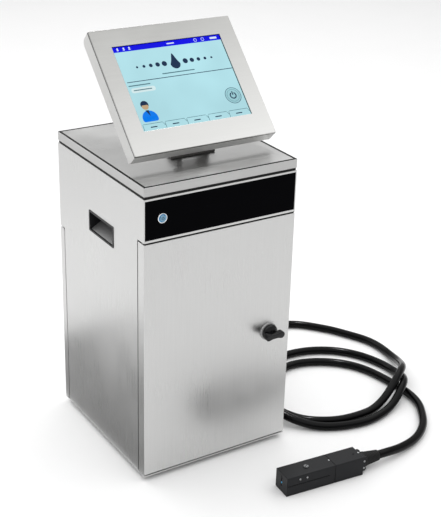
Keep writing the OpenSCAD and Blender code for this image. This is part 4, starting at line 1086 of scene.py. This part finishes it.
# half width, front, back, half height, rounding and finish of each block of the square socket
usbBlocks = [(8.3, -10.5, 2.5, 6.8, 0.6, 0), (6, 2.3, 2.62, 4.5, 0.1, 1), (4.6, 2.4, 3.1, 1.2, 0.2, 2)]
mains = {"blade": (1.05, 2.05), "bladeEnds": (-15.6, -4.4), "pitch": 7, "rise": (-2, 3, -2),
         "screwReach": 20, "markUp": 5.2, "markOut": 5.6, "markEnds": (-0.3, 0.35),
         "bar": (0.4, 1.9), "ring": (1.9, 1.2)}
fan = {"at": (-85.0, 423.0), "hole": 71.5, "blades": 7, "bladeSpan": (15.5, 36.3), "bladeBack": 17,
       "bladeThick": 1.3, "rows": 8, "twist": (52, 20), "chord": (8.0, 2.5), "hubBack": 25,
       "hub": [(0, 0), (15.5, 0), (17, 1.5), (17, 14.5), (15.5, 16), (3, 16.5), (3, 22), (0, 22)],
       "badge": [(0, -0.15), (10.5, -0.15), (10.5, 0.2), (0, 0.2)],
       "wire": 1.1, "wireRings": (9, 16, 23, 30, 37), "spokes": (45, 135, 225, 315),
       "spokeStart": 8, "spoke": 46.8}
# a louvre's hood: how far it has risen at each width, and the places of its rows from foot to mouth
louvre = {"ends": [(-37, 0.0), (-35.5, 0.5), (-33.5, 0.85), (-31, 1.0), (0, 1.0), (31, 1.0),
                   (33.5, 0.85), (35.5, 0.5), (37, 0.0)],
          "rows": (0, 0.12, 0.3, 0.5, 0.7, 0.88, 1), "low": -4.6, "tall": 7.0, "rise": 4.2,
          "bulge": 0.8, "thick": 0.8}


def threadOutline(r, low, high, pitch, depth=0.5):
    points = []
    count = int((high - low) / pitch)
    for k in range(count):
        z = low + k * pitch
        points += [(r - depth, z), (r, z + pitch * 0.5)]
    return points + [(r - depth, low + count * pitch)]


def makeSockets(r, s, face):
    bm = bmesh.new()
    pins = []
    for x in r["sockets"]:
        at = facing((x, face, r["port"]), (0, 1, 0))
        thread = threadOutline(*s["thread"], r["thread"], s["threadDepth"])
        addTurned(bm, s["flange"] + thread + s["mouth"], at, 40)
        addTurned(bm, s["insert"], at, 32, skin=1)
        ring = ringSpots((x, face + s["pinFoot"], r["port"]), "Y", s["pinRing"], s["pins"], 18)
        pins += [(point, (0, 1, 0)) for point, _ in ring]
        addPlate(bm, hexOutline(s["nut"], 0), *s["nutEnds"], at, soft=0.4)
    # the square socket's mouth is a dark plate: painted shade of the opening
    x, z = r["usb"], r["port"]
    for w, y0, y1, h, soft, skin in usbBlocks:
        addBlock(bm, (x - w, face + y0, z - h), (x + w, face + y1, z + h), soft=soft, skin=skin)
    made = settle("signalSockets", bm, [looks["machined"], looks["chip"], looks["label"]],
                  bodyOf["data_sockets"])
    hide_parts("data_sockets")
    bm = bmesh.new()
    addTurned(bm, s["pin"], steps=10)
    pin = keepPrototype("socketPin", bm, [looks["brass"]])
    spread("socketPins", pin, pins, bodyOf["data_sockets"])


def makeMainsParts(r, m, face):
    bm = bmesh.new()
    (w, h), (y0, y1) = m["blade"], m["bladeEnds"]
    for k, rise in zip((-1, 0, 1), m["rise"]):
        x, z = r["inlet"] + m["pitch"] * k, r["port"] + rise
        addBlock(bm, (x - w, face + y0, z - h), (x + w, face + y1, z + h), soft=0.35)
    settle("inletBlades", bm, [looks["machined"]], bodyOf["mains_inlet"])
    spots = [((r["inlet"] + m["screwReach"] * side, face + 3, r["port"]), (0, 1, 0))
             for side in (-1, 1)]
    spread("inletScrews", darkScrew, spots, bodyOf["mains_inlet"], 0.9)
    # a plain bar and a plain ring on the rocker
    bm = bmesh.new()
    rocker = (Matrix.Translation((r["switch"], face - 4, r["port"]))
              @ Matrix.Rotation(math.radians(r["rockerTilt"]), 4, "X"))
    upper, lower = (facing((0, m["markOut"], z), (0, 1, 0)) for z in (m["markUp"], -m["markUp"]))
    (x, y), (z0, z1) = m["bar"], m["markEnds"]
    addBlock(bm, (-x, -y, z0), (x, y, z1), rocker @ upper)
    ring, hole = (arc(0, 0, radius, 0, 360, 24)[:-1] for radius in m["ring"])
    addPlate(bm, ring + [ring[0], hole[0]] + hole[:0:-1], z0, z1, rocker @ lower)
    settle("rockerMarks", bm, [looks["label"]], bodyOf["switch_rocker"])


def bladePrototype(f):
    bm = bmesh.new()
    inner, outer = f["bladeSpan"]
    rows = []
    for i in range(f["rows"]):
        t = i / (f["rows"] - 1)
        pitch = math.radians(f["twist"][0] - f["twist"][1] * t)
        chord = f["chord"][0] + f["chord"][1] * t
        rows.append([(c * chord * math.cos(pitch) + 2.5 * t * t,
                      c * chord * math.sin(pitch) * 0.82 + 1.6 * (1 - c * c),
                      inner + (outer - inner) * t) for c in (-1, -0.66, -0.33, 0, 0.33, 0.66, 1)])
    addSheet(bm, rows, f["bladeThick"])
    return keepPrototype("fanBlade", bm, [looks["blackPlastic"]], 60)


def makeFan(f, face):
    x, z = f["at"]
    spread("fanBlades", bladePrototype(f),
           ringSpots((x, face - f["bladeBack"], z), "Y", 0.001, f["blades"], 20),
           bodyOf["fan_rotor"])
    bm = bmesh.new()
    at = facing((x, face - f["hubBack"], z), (0, 1, 0))
    addTurned(bm, f["hub"], at, 48)
    addTurned(bm, f["badge"], at, 36, skin=1)
    made = settle("fanHub", bm, [looks["blackPlastic"], looks["label"]], bodyOf["fan_rotor"])
    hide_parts("fan_rotor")
    half = f["hole"] / 2
    spots = [((x + sx * half, face + 2.2, z + sz * half), (0, 1, 0)) for sx in (-1, 1) for sz in (-1, 1)]
    spread("fanScrews", panScrew, spots, "cabinet", 1.1)
    # rings and spokes of round wire
    bm = bmesh.new()
    wire = f["wire"]
    for radius in f["wireRings"]:
        loop = arc(radius, 0, wire, 0, 360, 12)[:-1]
        addTurned(bm, loop + [loop[0]], facing((x, face + 1.2, z), (0, 1, 0)), 56)
    for turn in f["spokes"]:
        way = Vector((math.cos(math.radians(turn)), 0, math.sin(math.radians(turn))))
        start = Vector((x, face + 1.9, z)) + way * f["spokeStart"]
        end = f["spoke"]
        addTurned(bm, [(0, 0), (wire, 0.3), (wire, end - 0.3), (0, end)], facing(start, way), 12)
    made = settle("fanGrille", bm, [looks["chrome"]], bodyOf["fan_guard"], 50)
    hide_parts("fan_guard")


def makeLouvres(r, l, face):
    bm = bmesh.new()
    rows = [[(x, l["low"] + l["tall"] * t, l["rise"] * rise * math.sin(t * math.pi / 2) ** l["bulge"])
             for t in l["rows"]] for x, rise in l["ends"]]
    addSheet(bm, rows, -l["thick"])
    hood = keepPrototype("louvreHood", bm, [looks["steelUpright"]], 60)
    spots = [((x, face, r["louvreLow"] + r["louvrePitch"] * k), (0, 1, 0))
             for x in r["louvreX"] for k in range(r["louvreRows"])]
    spread("louvres", hood, spots, bodyOf["rear_door"])


def makeRear(r):
    face = span("rear_panel")[1].y
    spread("panelScrews", panScrew, [((x, face, z), (0, 1, 0)) for x, z in r["panelScrews"]],
           bodyOf["rear_panel"])
    x0, z0, x1, z1 = r["plate"]
    bm = bmesh.new()
    at = facing(((x0 + x1) / 2, face, (z0 + z1) / 2), (0, 1, 0))
    w, h = x1 - x0, z1 - z0
    addPlate(bm, roundRect(0, 0, w, h, 3), -0.2, 0.6, at, soft=0.2)
    addPlate(bm, roundRect(0, 0, w - 12, h - 10, 1.5), 0.5, 0.72, at, skin=1)
    settle("ratingPlate", bm, [looks["machined"], looks["label"]], bodyOf["rear_panel"])
    makeSockets(r, socket, face)
    makeMainsParts(r, mains, face)
    makeFan(fan, face)
    makeLouvres(r, louvre, face)


makeRear(rear)
print("rear done")

# hose gland on the right wall

gland = {"at": (150.0, 115.0, 85.0), "hex": 21.0, "innerHex": 21.5, "dome": 17.0, "length": 40.0,
         "ribs": 22, "thread": (15.8, -9.6, -0.6, 1.5, 0.6), "core": 15.2, "nut": (1.2, 8),
         "innerNut": (-9, -2), "washer": [(0, 0), (20, 0), (20, 1.4), (0, 1.4)], "bore": 8.4,
         "rib": ((-7.6, -0.9, -0.6), (7.6, 0.9, 0.55)), "ribX": 17.2}


def makeGland(g):
    at = facing(g["at"], (1, 0, 0))
    bm = bmesh.new()
    core, bore, r, end = g["core"], g["bore"], g["dome"], g["length"]
    addTurned(bm, [(0, -10), (core, -10)] + threadOutline(*g["thread"]) + [(core, 0.5), (0, 0.5)], at, 40)
    addPlate(bm, hexOutline(g["hex"]), *g["nut"], at, soft=0.9)
    addTurned(bm, g["washer"], at, 44, skin=1)
    addPlate(bm, hexOutline(g["innerHex"]), *g["innerNut"], at, soft=0.9)
    addTurned(bm, [(0, 7.5), (r - 0.6, 7.5), (r, 8.6), (r, 25), (r - 0.6, 27.5), (r - 2.4, 31.5),
                   (12.6, 36), (11.6, end - 0.6), (11.0, end), (bore, end), (bore, end - 3),
                   (0, end - 3)], at, 48)
    made = settle("hoseGland", bm, [looks["blackPlastic"], looks["rubber"]],
                  bodyOf["umbilical_gland"], 40)
    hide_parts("umbilical_gland")
    bm = bmesh.new()
    addBlock(bm, *g["rib"], soft=0.35)
    rib = keepPrototype("glandRib", bm, [looks["blackPlastic"]])
    x, y, z = g["at"]
    spread("glandRibs", rib, ringSpots((x + g["ribX"], y, z), "X", r, g["ribs"], 7),
           bodyOf["umbilical_gland"])


makeGland(gland)

# stand under the screen and the housing's back

standParts = {"edge": 1.2, "pinEdge": 0.8, "screwX": 38.0, "screwY": (-57.0, -18.0), "top": 567.0,
              "coverHalf": (84.0, 62.0), "coverUp": 12.0, "slots": 11, "slotPitch": 6.0,
              "slot": (46, 2.6, 1.25), "slotX": 44, "backDepth": 30.7, "coverEnds": (-0.3, 1.2),
              "screwInset": 7, "backScrewX": 126, "backScrewY": (-92, -12, 76)}


def makeStand(p):
    softened("screen_stand", p["edge"])
    softened("tilt_pin", p["pinEdge"], looks["chrome"])
    spots = [((sx * p["screwX"], y, p["top"]), (0, 0, 1)) for sx in (-1, 1) for y in p["screwY"]]
    spread("standScrews", darkScrew, spots, bodyOf["screen_stand"], 1.15)
    w, h = p["coverHalf"]
    up, depth, inset = p["coverUp"], p["backDepth"], p["screwInset"]
    back = screenFrame @ Matrix.Translation((0, up, -depth)) @ Matrix.Rotation(math.pi, 4, "Y")
    bm = bmesh.new()
    addPlate(bm, roundRect(0, 0, 2 * w, 2 * h, 5), *p["coverEnds"], back, soft=0.5)
    settle("serviceCover", bm, [looks["shellGrey"]], "screen")
    out = back.to_3x3() @ Vector((0, 0, 1))
    corners = [(sx * (w - inset), sy * (h - inset), p["coverEnds"][1]) for sx in (-1, 1) for sy in (-1, 1)]
    corners += [(sx * p["backScrewX"], y, 0) for sx in (-1, 1) for y in p["backScrewY"]]
    spots = [(back @ Vector(corner), out) for corner in corners]
    spread("coverPlateScrews", darkScrew, spots, "screen", 1.1)
    # the vent slots are dark marks on the cover: painted shade of the openings
    bm = bmesh.new()
    for side in (-1, 1):
        for k in range(p["slots"]):
            y = (k - (p["slots"] - 1) / 2) * p["slotPitch"]
            addPlate(bm, roundRect(side * p["slotX"], y, *p["slot"], 4), 1.1, 1.26, back)
    settle("coverVents", bm, [looks["seam"]], "screen")


makeStand(standParts)
print("stand done")

# ink system behind the doors

fluids = {"tankX": (-60.0, 60.0), "tankY": -47.0, "tankLow": 12.8, "tankHeight": 205.0,
          "tankWide": 104.0, "neck": 20.0, "neckAhead": -12.0, "cap": 24.0, "capHeight": 18.0,
          "ridges": 30, "nipple": (36.0, 34.0), "level": (0.55, 0.8), "corner": 12,
          "collar": [(0, 0), (22.5, 0), (21, 2.2)], "thread": (2.6, 13.0, 2.6, 0.8), "bore": 18.5,
          "barbs": [(0, 0), (5.8, 0), (5, 1.2), (4.2, 3.5), (4.9, 4.2), (4.1, 6.8), (4.8, 7.5),
                    (4.0, 10.2), (0, 10.2)],
          "strip": (-38, -26), "stripUp": 26, "stripShare": 0.72, "fill": (-36, -28), "ticks": 12,
          "tickX": -24.4, "label": (14, 96, 54, 76, 3), "band": (14, 122, 46, 12, 1.5),
          "capBore": 20.2, "capGap": 0.3, "plateScrewX": 134, "plateScrewZ": (120, 250, 390)}


def makeTank(f, side, node, name, levelFill, band):
    x = f["tankX"][side]
    w, low, high = f["tankWide"], f["tankLow"], f["tankLow"] + f["tankHeight"]
    bm = bmesh.new()
    place = Matrix.Translation((x, f["tankY"], 0))
    addPlate(bm, roundRect(0, 0, w, w, f["corner"], 6), low, high, place, soft=7, steps=4)
    neck = Matrix.Translation((x, f["tankY"] + f["neckAhead"], high - 0.5))
    addTurned(bm, f["collar"] + threadOutline(f["neck"], *f["thread"]) + [(f["bore"], 14), (0, 14)],
              neck, 44)
    nx, ny = f["nipple"]
    for sx in (-1, 1):
        at = Matrix.Translation((x + sx * nx, f["tankY"] + ny, high - 0.5))
        addTurned(bm, f["barbs"], at, 24)
    front = facing((x, f["tankY"] - w / 2, 0), (0, -1, 0))
    # sight strip with the level in it, and a plain label with a band
    strip = (high - low) * f["stripShare"]
    z0, z1 = low + f["stripUp"], low + f["stripUp"] + strip
    x0, x1 = f["strip"]
    addBlock(bm, (x0, z0 - 3, -0.4), (x1, z1 + 3, 0.7), front, soft=0.5, skin=1)
    x0, x1 = f["fill"]
    addBlock(bm, (x0, z0, 0.5), (x1, z0 + strip * levelFill, 0.95), front, soft=0.2, skin=2)
    for (lx, up, wide, tall, r), z, skin in ((f["label"], (-0.3, 0.35), 3), (f["band"], (0.3, 0.5), 4)):
        addPlate(bm, roundRect(lx, low + up, wide, tall, r), *z, front, skin=skin)
    made = settle(name, bm, [looks["tank"], looks["clear"], looks["ink"], looks["label"], band],
                  bodyOf[node], 40)
    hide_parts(node)
    count = f["ticks"]
    return [(front @ Vector((f["tickX"], z0 + strip * k / count, 0.2)), (0, -1, 0))
            for k in range(count + 1)]


def makeCap(f, side, node, name, finish):
    x, y = f["tankX"][side], f["tankY"] + f["neckAhead"]
    low = f["tankLow"] + f["tankHeight"] + f["capGap"]
    r, h, bore = f["cap"], f["capHeight"], f["capBore"]
    bm = bmesh.new()
    addTurned(bm, [(bore, 0), (r, 0), (r, h - 1.6), (r - 1.6, h), (r - 5, h), (r - 6, h - 1.4),
                   (7, h - 1.4), (5.6, h + 0.2), (0, h + 0.2), (0, h - 4), (bore, h - 4), (bore, 0)],
              Matrix.Translation((x, y, low)), 60)
    made = settle(name, bm, [finish], bodyOf[node], 40)
    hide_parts(node)
    bm = bmesh.new()
    addBlock(bm, (-0.7, -1.0, 0.8), (0.75, 1.0, h - 2.4), soft=0.4)
    ridge = keepPrototype(name + "Ridge", bm, [finish])
    spread(name + "Ridges", ridge, ringSpots((x, y, low), "Z", r, f["ridges"]), bodyOf[node],
           axis="X")


pump = {"y": 78.0, "z": 74.5, "motor": (-112.0, -28.0), "radius": 25.0, "head": (8.0, 52.0),
        "headRadius": 22.0, "plate": 22.0, "footHalf": 12,
        "coupler": [(0, 0.3), (5, 0.3), (5, 6), (8.4, 6), (9, 6.6), (9, 15.6), (7.6, 16.2),
                    (7.6, 19.8), (9, 20.4), (9, 29.4), (8.4, 30), (5, 30), (5, 35.7), (0, 35.7)],
        "setScrews": (11, 25), "setScrewOut": 8.8,
        "port": [(0, 18), (6.5, 18), (6.5, 24), (4, 25), (4.8, 26), (4, 29), (4.8, 30), (4, 32),
                 (0, 32)], "portX": 22, "boltRing": 16, "bolts": 6,
        "bolt": [(0, -1), (3.2, -1), (3.2, 3.4), (2.8, 3.8), (1.6, 3.8), (1.6, 1.6), (0, 1.6)]}


def makePump(p):
    x0, x1 = p["motor"]
    y, z, r, length, foot = p["y"], p["z"], p["radius"], x1 - x0, p["footHalf"]
    bm = bmesh.new()
    at = facing((x0, y, z), (1, 0, 0))
    addTurned(bm, [(0, -4), (16, -4), (17, -3.2), (17, 0), (r - 1, 0), (r, 1), (r, 13), (r - 1, 13.6),
                   (r - 1, length - 14), (r, length - 13.4), (r, length - 1), (r - 1, length),
                   (0, length)], at, 56)
    addBlock(bm, (x0 + 12, p["plate"], z - foot), (x1 - 12, y - 20, z + foot), soft=1)
    addTurned(bm, [(r - 1.05, 24), (r - 0.75, 24), (r - 0.75, 58), (r - 1.05, 58), (r - 1.05, 24)],
              at, 56, skin=1)
    made = settle("pumpMotor", bm, [looks["motor"], looks["label"]], bodyOf["pump_motor"],
                  40)
    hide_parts("pump_motor")
    spread("motorScrews", panScrew, ringSpots((x0 + 7, y, z), "X", r - 0.1, 4, 45),
           bodyOf["pump_motor"], 0.9)
    bm = bmesh.new()
    at = facing((x1, y, z), (1, 0, 0))
    addTurned(bm, p["coupler"], at, 44)
    made = settle("pumpCoupler", bm, [looks["brass"]], bodyOf["pump_coupler"], 40)
    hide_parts("pump_coupler")
    spots = [s for x in p["setScrews"] for s in ringSpots((x1 + x, y, z), "X", p["setScrewOut"], 2, 70)]
    spread("couplerScrews", darkScrew, spots, bodyOf["pump_coupler"], 0.7)
    h0, h1 = p["head"]
    r = p["headRadius"]
    at = facing((h0, y, z), (1, 0, 0))
    bm = bmesh.new()
    addTurned(bm, [(0, 0), (r - 1, 0), (r, 1), (r, 14), (r - 0.8, 14.4), (r - 0.8, 16), (r, 16.4),
                   (r, h1 - h0 - 1), (r - 1, h1 - h0), (9, h1 - h0), (8, h1 - h0 + 2), (0, h1 - h0 + 2)],
              at, 52)
    addBlock(bm, (h0 + 6, p["plate"], z - foot), (h0 + 38, y - 15, z + foot), soft=1)
    addTurned(bm, p["port"], Matrix.Translation((h0 + p["portX"], y, z)), 28)
    made = settle("pumpHead", bm, [looks["machined"]], bodyOf["pump_head"], 40)
    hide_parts("pump_head")
    bm = bmesh.new()
    addTurned(bm, p["bolt"], steps=18)
    bolt = keepPrototype("capBolt", bm, [looks["latchGloss"]])
    spots = [(point, (1, 0, 0)) for point, _ in ringSpots((h1, y, z), "X", p["boltRing"], p["bolts"])]
    spread("pumpBolts", bolt, spots, bodyOf["pump_head"])


valves = {"x": (0, 24, 48, 72, 96), "z": 330.0, "top": 347.0,
          "filterX": (-112.0, -68.0), "filterY": -2.0, "filterLow": 273.0, "filterHigh": 391.0,
          "filter": 19.0, "tube": 3.0, "tubeStep": 0.003, "coil": ((-9, -11, 0), (9, 11, 30)),
          "coilLabel": ((-9.3, -6, 6), (9.3, 6, 22)), "stem": [(0, -4), (7, -4), (7, 0.2), (0, 0.2)],
          "nut": 4.6, "nutEnds": (29.8, 33.2), "tabs": (-4, 4), "screwX": (-10, 12, 36, 60, 84, 106),
          "paper": 12, "filterRibs": 24, "inkTubes": (-96, -24), "makeupTubes": ((24, 2), (96, 4)),
          "valvePort": (7, 304.7)}


def makeValves(v):
    bm = bmesh.new()
    addBlock(bm, *v["coil"], soft=1.2)
    addBlock(bm, *v["coilLabel"], soft=0.2, skin=1)
    addTurned(bm, v["stem"], steps=28, skin=2)
    addPlate(bm, hexOutline(v["nut"]), *v["nutEnds"], soft=0.4, skin=2)
    for x in v["tabs"]:
        addBlock(bm, (x - 0.4, -14.8, 21), (x + 0.4, -10.8, 24), soft=0.1, skin=2)
    valve = keepPrototype("solenoid", bm, [looks["blackPlastic"], looks["label"], looks["machined"]])
    made = spread("solenoids", valve, [((x, -10, v["z"]), (0, -1, 0)) for x in v["x"]],
                  bodyOf["solenoid_valves"])
    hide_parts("solenoid_valves")
    spots = [((x, 7, v["top"]), (0, 0, 1)) for x in v["screwX"]]
    spread("manifoldScrews", panScrew, spots, bodyOf["valve_manifold"], 1.1)
    # filter canisters: black head with ribs, clear bowl round a paper cartridge
    bm = bmesh.new()
    r, low, high, paper = v["filter"], v["filterLow"], v["filterHigh"], v["paper"]
    for x in v["filterX"]:
        at = Matrix.Translation((x, v["filterY"], 0))
        addTurned(bm, [(0, low - 8), (4.2, low - 8), (4.9, low - 6), (4.2, low - 4), (4.9, low - 2.5),
                       (5, low), (11, low + 0.4), (16, low + 4), (17.6, low + 12), (17.6, high - 40),
                       (0, high - 40)], at, 44, skin=1)
        addTurned(bm, [(0, low + 8), (paper, low + 8), (paper, high - 42), (0, high - 42)], at, 36, skin=2)
        addTurned(bm, [(0, high - 40), (r - 1, high - 40), (r, high - 39), (r, high - 12),
                       (r - 1.2, high - 9), (r - 2, high), (11, high + 0.2), (11, high + 5.4),
                       (10.4, high + 6), (0, high + 6)], at, 44)
        addBlock(bm, (x - 8, 13, low + 40), (x + 8, 20, low + 70), soft=0.6)
    made = settle("filters", bm, [looks["blackPlastic"], looks["clear"], looks["cartridge"]],
                  bodyOf["filter_canisters"], 40)
    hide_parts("filter_canisters")
    bm = bmesh.new()
    addBlock(bm, (-0.5, -0.9, high - 37), (0.7, 0.9, high - 15), soft=0.35)
    rib = keepPrototype("filterRib", bm, [looks["blackPlastic"]])
    spots = [s for x in v["filterX"] for s in ringSpots((x, v["filterY"], 0), "Z", r, v["filterRibs"])]
    spread("filterRibs", rib, spots, bodyOf["filter_canisters"], axis="X")


def tubeTree(finish):
    tree, given, out = geometryTree("plainTube", {"Radius": 0.003, "Sides": 14})
    return coatLines(tree, given, out, given.outputs["Geometry"], finish)


def makeTubes(v, f):
    top = f["tankLow"] + f["tankHeight"] + 10.3
    y = f["tankY"] + f["nipple"][1]
    routes = []
    for x, filterX in zip(v["inkTubes"], v["filterX"]):
        start, end = Vector((x, y, top)), Vector((filterX, v["filterY"], v["filterLow"] - 8.3))
        routes.append([start, start + Vector((0, 0, 14)), start * 0.7 + end * 0.3 + Vector((0, -3, 6)),
                       start * 0.3 + end * 0.7 + Vector((0, -2, -6)), end - Vector((0, 0, 12)), end])
    for x, valve in v["makeupTubes"]:
        start, end = Vector((x, y, top)), Vector((v["x"][valve], *v["valvePort"]))
        routes.append([start, start + Vector((0, 0, 16)), (start + end) / 2, end - Vector((0, 0, 16)),
                       end])
    lines = [smoothLine([tuple(p * mm) for p in route], v["tubeStep"]) for route in routes]
    made = grow("fluidLines", lineObject("fluidRoutes", lines), tubeTree(looks["clear"]),
                {"Radius": v["tube"] * mm, "Sides": 14}, bodyOf["fluid_tubes"])
    made.data.shade_smooth()
    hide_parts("fluid_tubes")


def makeFluids(f):
    ticks = makeTank(f, 0, "ink_tank", "inkTank", f["level"][0], looks["chip"])
    ticks += makeTank(f, 1, "makeup_tank", "makeupTank", f["level"][1], looks["capBlue"])
    bm = bmesh.new()
    addBlock(bm, (-1.6, -0.35, 0), (1.6, 0.35, 0.35))
    tick = keepPrototype("levelTick", bm, [looks["seam"]])
    spread("levelTicks", tick, ticks, "cabinet")
    makeCap(f, 0, "ink_tank_cap", "inkCap", looks["blackPlastic"])
    makeCap(f, 1, "makeup_tank_cap", "makeupCap", looks["capBlue"])
    makePump(pump)
    makeValves(valves)
    makeTubes(valves, f)
    spots = [((side * f["plateScrewX"], pump["plate"], z), (0, 1, 0))
             for side in (-1, 1) for z in f["plateScrewZ"]]
    spread("plateScrews", panScrew, spots, bodyOf["hydraulics_plate"], 1.2)


makeFluids(fluids)
print("ink system done")

# electronics over the shelf

board = {"low": (-30.0, -120.0), "size": (165.0, 130.0), "z": 475.0, "thick": 1.6, "inset": 6,
         "sink": (50, 36), "sinkBase": 4, "sinkTop": 14.4, "fins": 9, "finStart": 1.2, "finPitch": 4.1,
         "finHalf": 0.6, "chips": ((26, 30, 28), (23, 67, 22)), "chipTall": 2.4,
         "can": [(0, 0), (5, 0), (5, 12.6), (4.4, 13.4), (4.0, 13.2), (0, 13.2)],
         "canMark": ((-3, -0.25, 13), (3, 0.25, 13.35)), "cans": 4, "canAt": (110, 30), "canPitch": 16,
         "plug": ((-9, -4.5, 0), (9, 4.5, 8)), "plugs": 5, "plugStart": 14, "plugPitch": 24,
         "ways": 6, "wayPitch": 2.8}
supply = {"terminals": 8, "terminalAt": (14, 7, 14), "terminalPitch": 10, "hole": 1.9, "holeTall": 0.12,
          "holes": (12, 14), "holeX": 18, "holeY": 20, "pitchX": 5.2, "pitchY": 4.6}


def makeBoard(b):
    x0, y0 = b["low"]
    w, d = b["size"]
    z0, z1 = b["z"], b["z"] + b["thick"]
    corners = [(x, y) for x in (x0 + b["inset"], x0 + w - b["inset"])
               for y in (y0 + b["inset"], y0 + d - b["inset"])]
    bm = bmesh.new()
    addPlate(bm, roundRect(x0 + w / 2, y0 + d / 2, w, d, 3), z0, z1)
    for x, y in corners:
        addPlate(bm, [(x + px, y + py) for px, py in hexOutline(3.2)], z0 - 8, z0, skin=2)
    # heat sink with fins
    start, side = b["sink"]
    sx, sy = x0 + start, y0 + start
    addBlock(bm, (sx, sy, z1), (sx + side, sy + side, z1 + b["sinkBase"]), soft=0.4, skin=1)
    for k in range(b["fins"]):
        x = sx + b["finStart"] + k * b["finPitch"]
        addBlock(bm, (x - b["finHalf"], sy, z1 + b["sinkBase"] - 0.5),
                 (x + b["finHalf"], sy + side, z1 + b["sinkTop"]), soft=0.2, skin=1)
    for bx, by, size in b["chips"]:
        x, y, half = x0 + bx, y0 + by, size / 2
        addBlock(bm, (x - half, y - half, z1), (x + half, y + half, z1 + b["chipTall"]), soft=0.4, skin=1)
    made = settle("controllerBoard", bm, [looks["board"], looks["chip"], looks["brass"]],
                  bodyOf["controller_board"])
    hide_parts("controller_board")
    bm = bmesh.new()
    addTurned(bm, b["can"], steps=24)
    addBlock(bm, *b["canMark"], skin=1)
    can = keepPrototype("capacitor", bm, [looks["machined"], looks["seam"]])
    cx, cy = b["canAt"]
    spots = [((x0 + cx, y0 + cy + b["canPitch"] * k, z1), (0, 0, 1)) for k in range(b["cans"])]
    spread("capacitors", can, spots, bodyOf["controller_board"])
    bm = bmesh.new()
    addBlock(bm, *b["plug"], soft=0.4)
    # the plug's openings are dark marks: painted shade
    for k in range(b["ways"]):
        x = b["wayPitch"] * k
        addBlock(bm, (-7.9 + x, -4.62, 1.5), (-6.1 + x, -4.3, 5.6), skin=1)
    plug = keepPrototype("boardPlug", bm, [looks["label"], looks["seam"]])
    spots = [((x0 + b["plugStart"] + b["plugPitch"] * k, y0 + d - 10, z1), (0, 0, 1))
             for k in range(b["plugs"])]
    spread("boardPlugs", plug, spots, bodyOf["controller_board"])
    spots = [((x, y, z1), (0, 0, 1)) for x, y in corners]
    spread("boardScrews", panScrew, spots, bodyOf["controller_board"], 0.95)


# power supply: terminal screws, and a lid whose holes are dark marks: painted shade of the openings
def makeSupply(p):
    low, high = span("power_supply")
    x, y, z = (low[i] + p["terminalAt"][i] for i in range(3))
    spots = [((x + p["terminalPitch"] * k, y, z), (0, 0, 1)) for k in range(p["terminals"])]
    spread("terminalScrews", panScrew, spots, bodyOf["power_supply"])
    bm = bmesh.new()
    addPlate(bm, hexOutline(p["hole"]), 0, p["holeTall"])
    hole = keepPrototype("supplyHole", bm, [looks["seam"]])
    columns, rows = p["holes"]
    spots = [((low.x + p["holeX"] + p["pitchX"] * (i + k % 2 / 2), high.y - p["holeY"] - p["pitchY"] * k,
               high.z), (0, 0, 1)) for i in range(columns) for k in range(rows)]
    spread("supplyHoles", hole, spots, bodyOf["power_supply"])


makeBoard(board)
makeSupply(supply)
print("electronics done")

for prototype in prototypes:
    bpy.data.objects.remove(prototype)
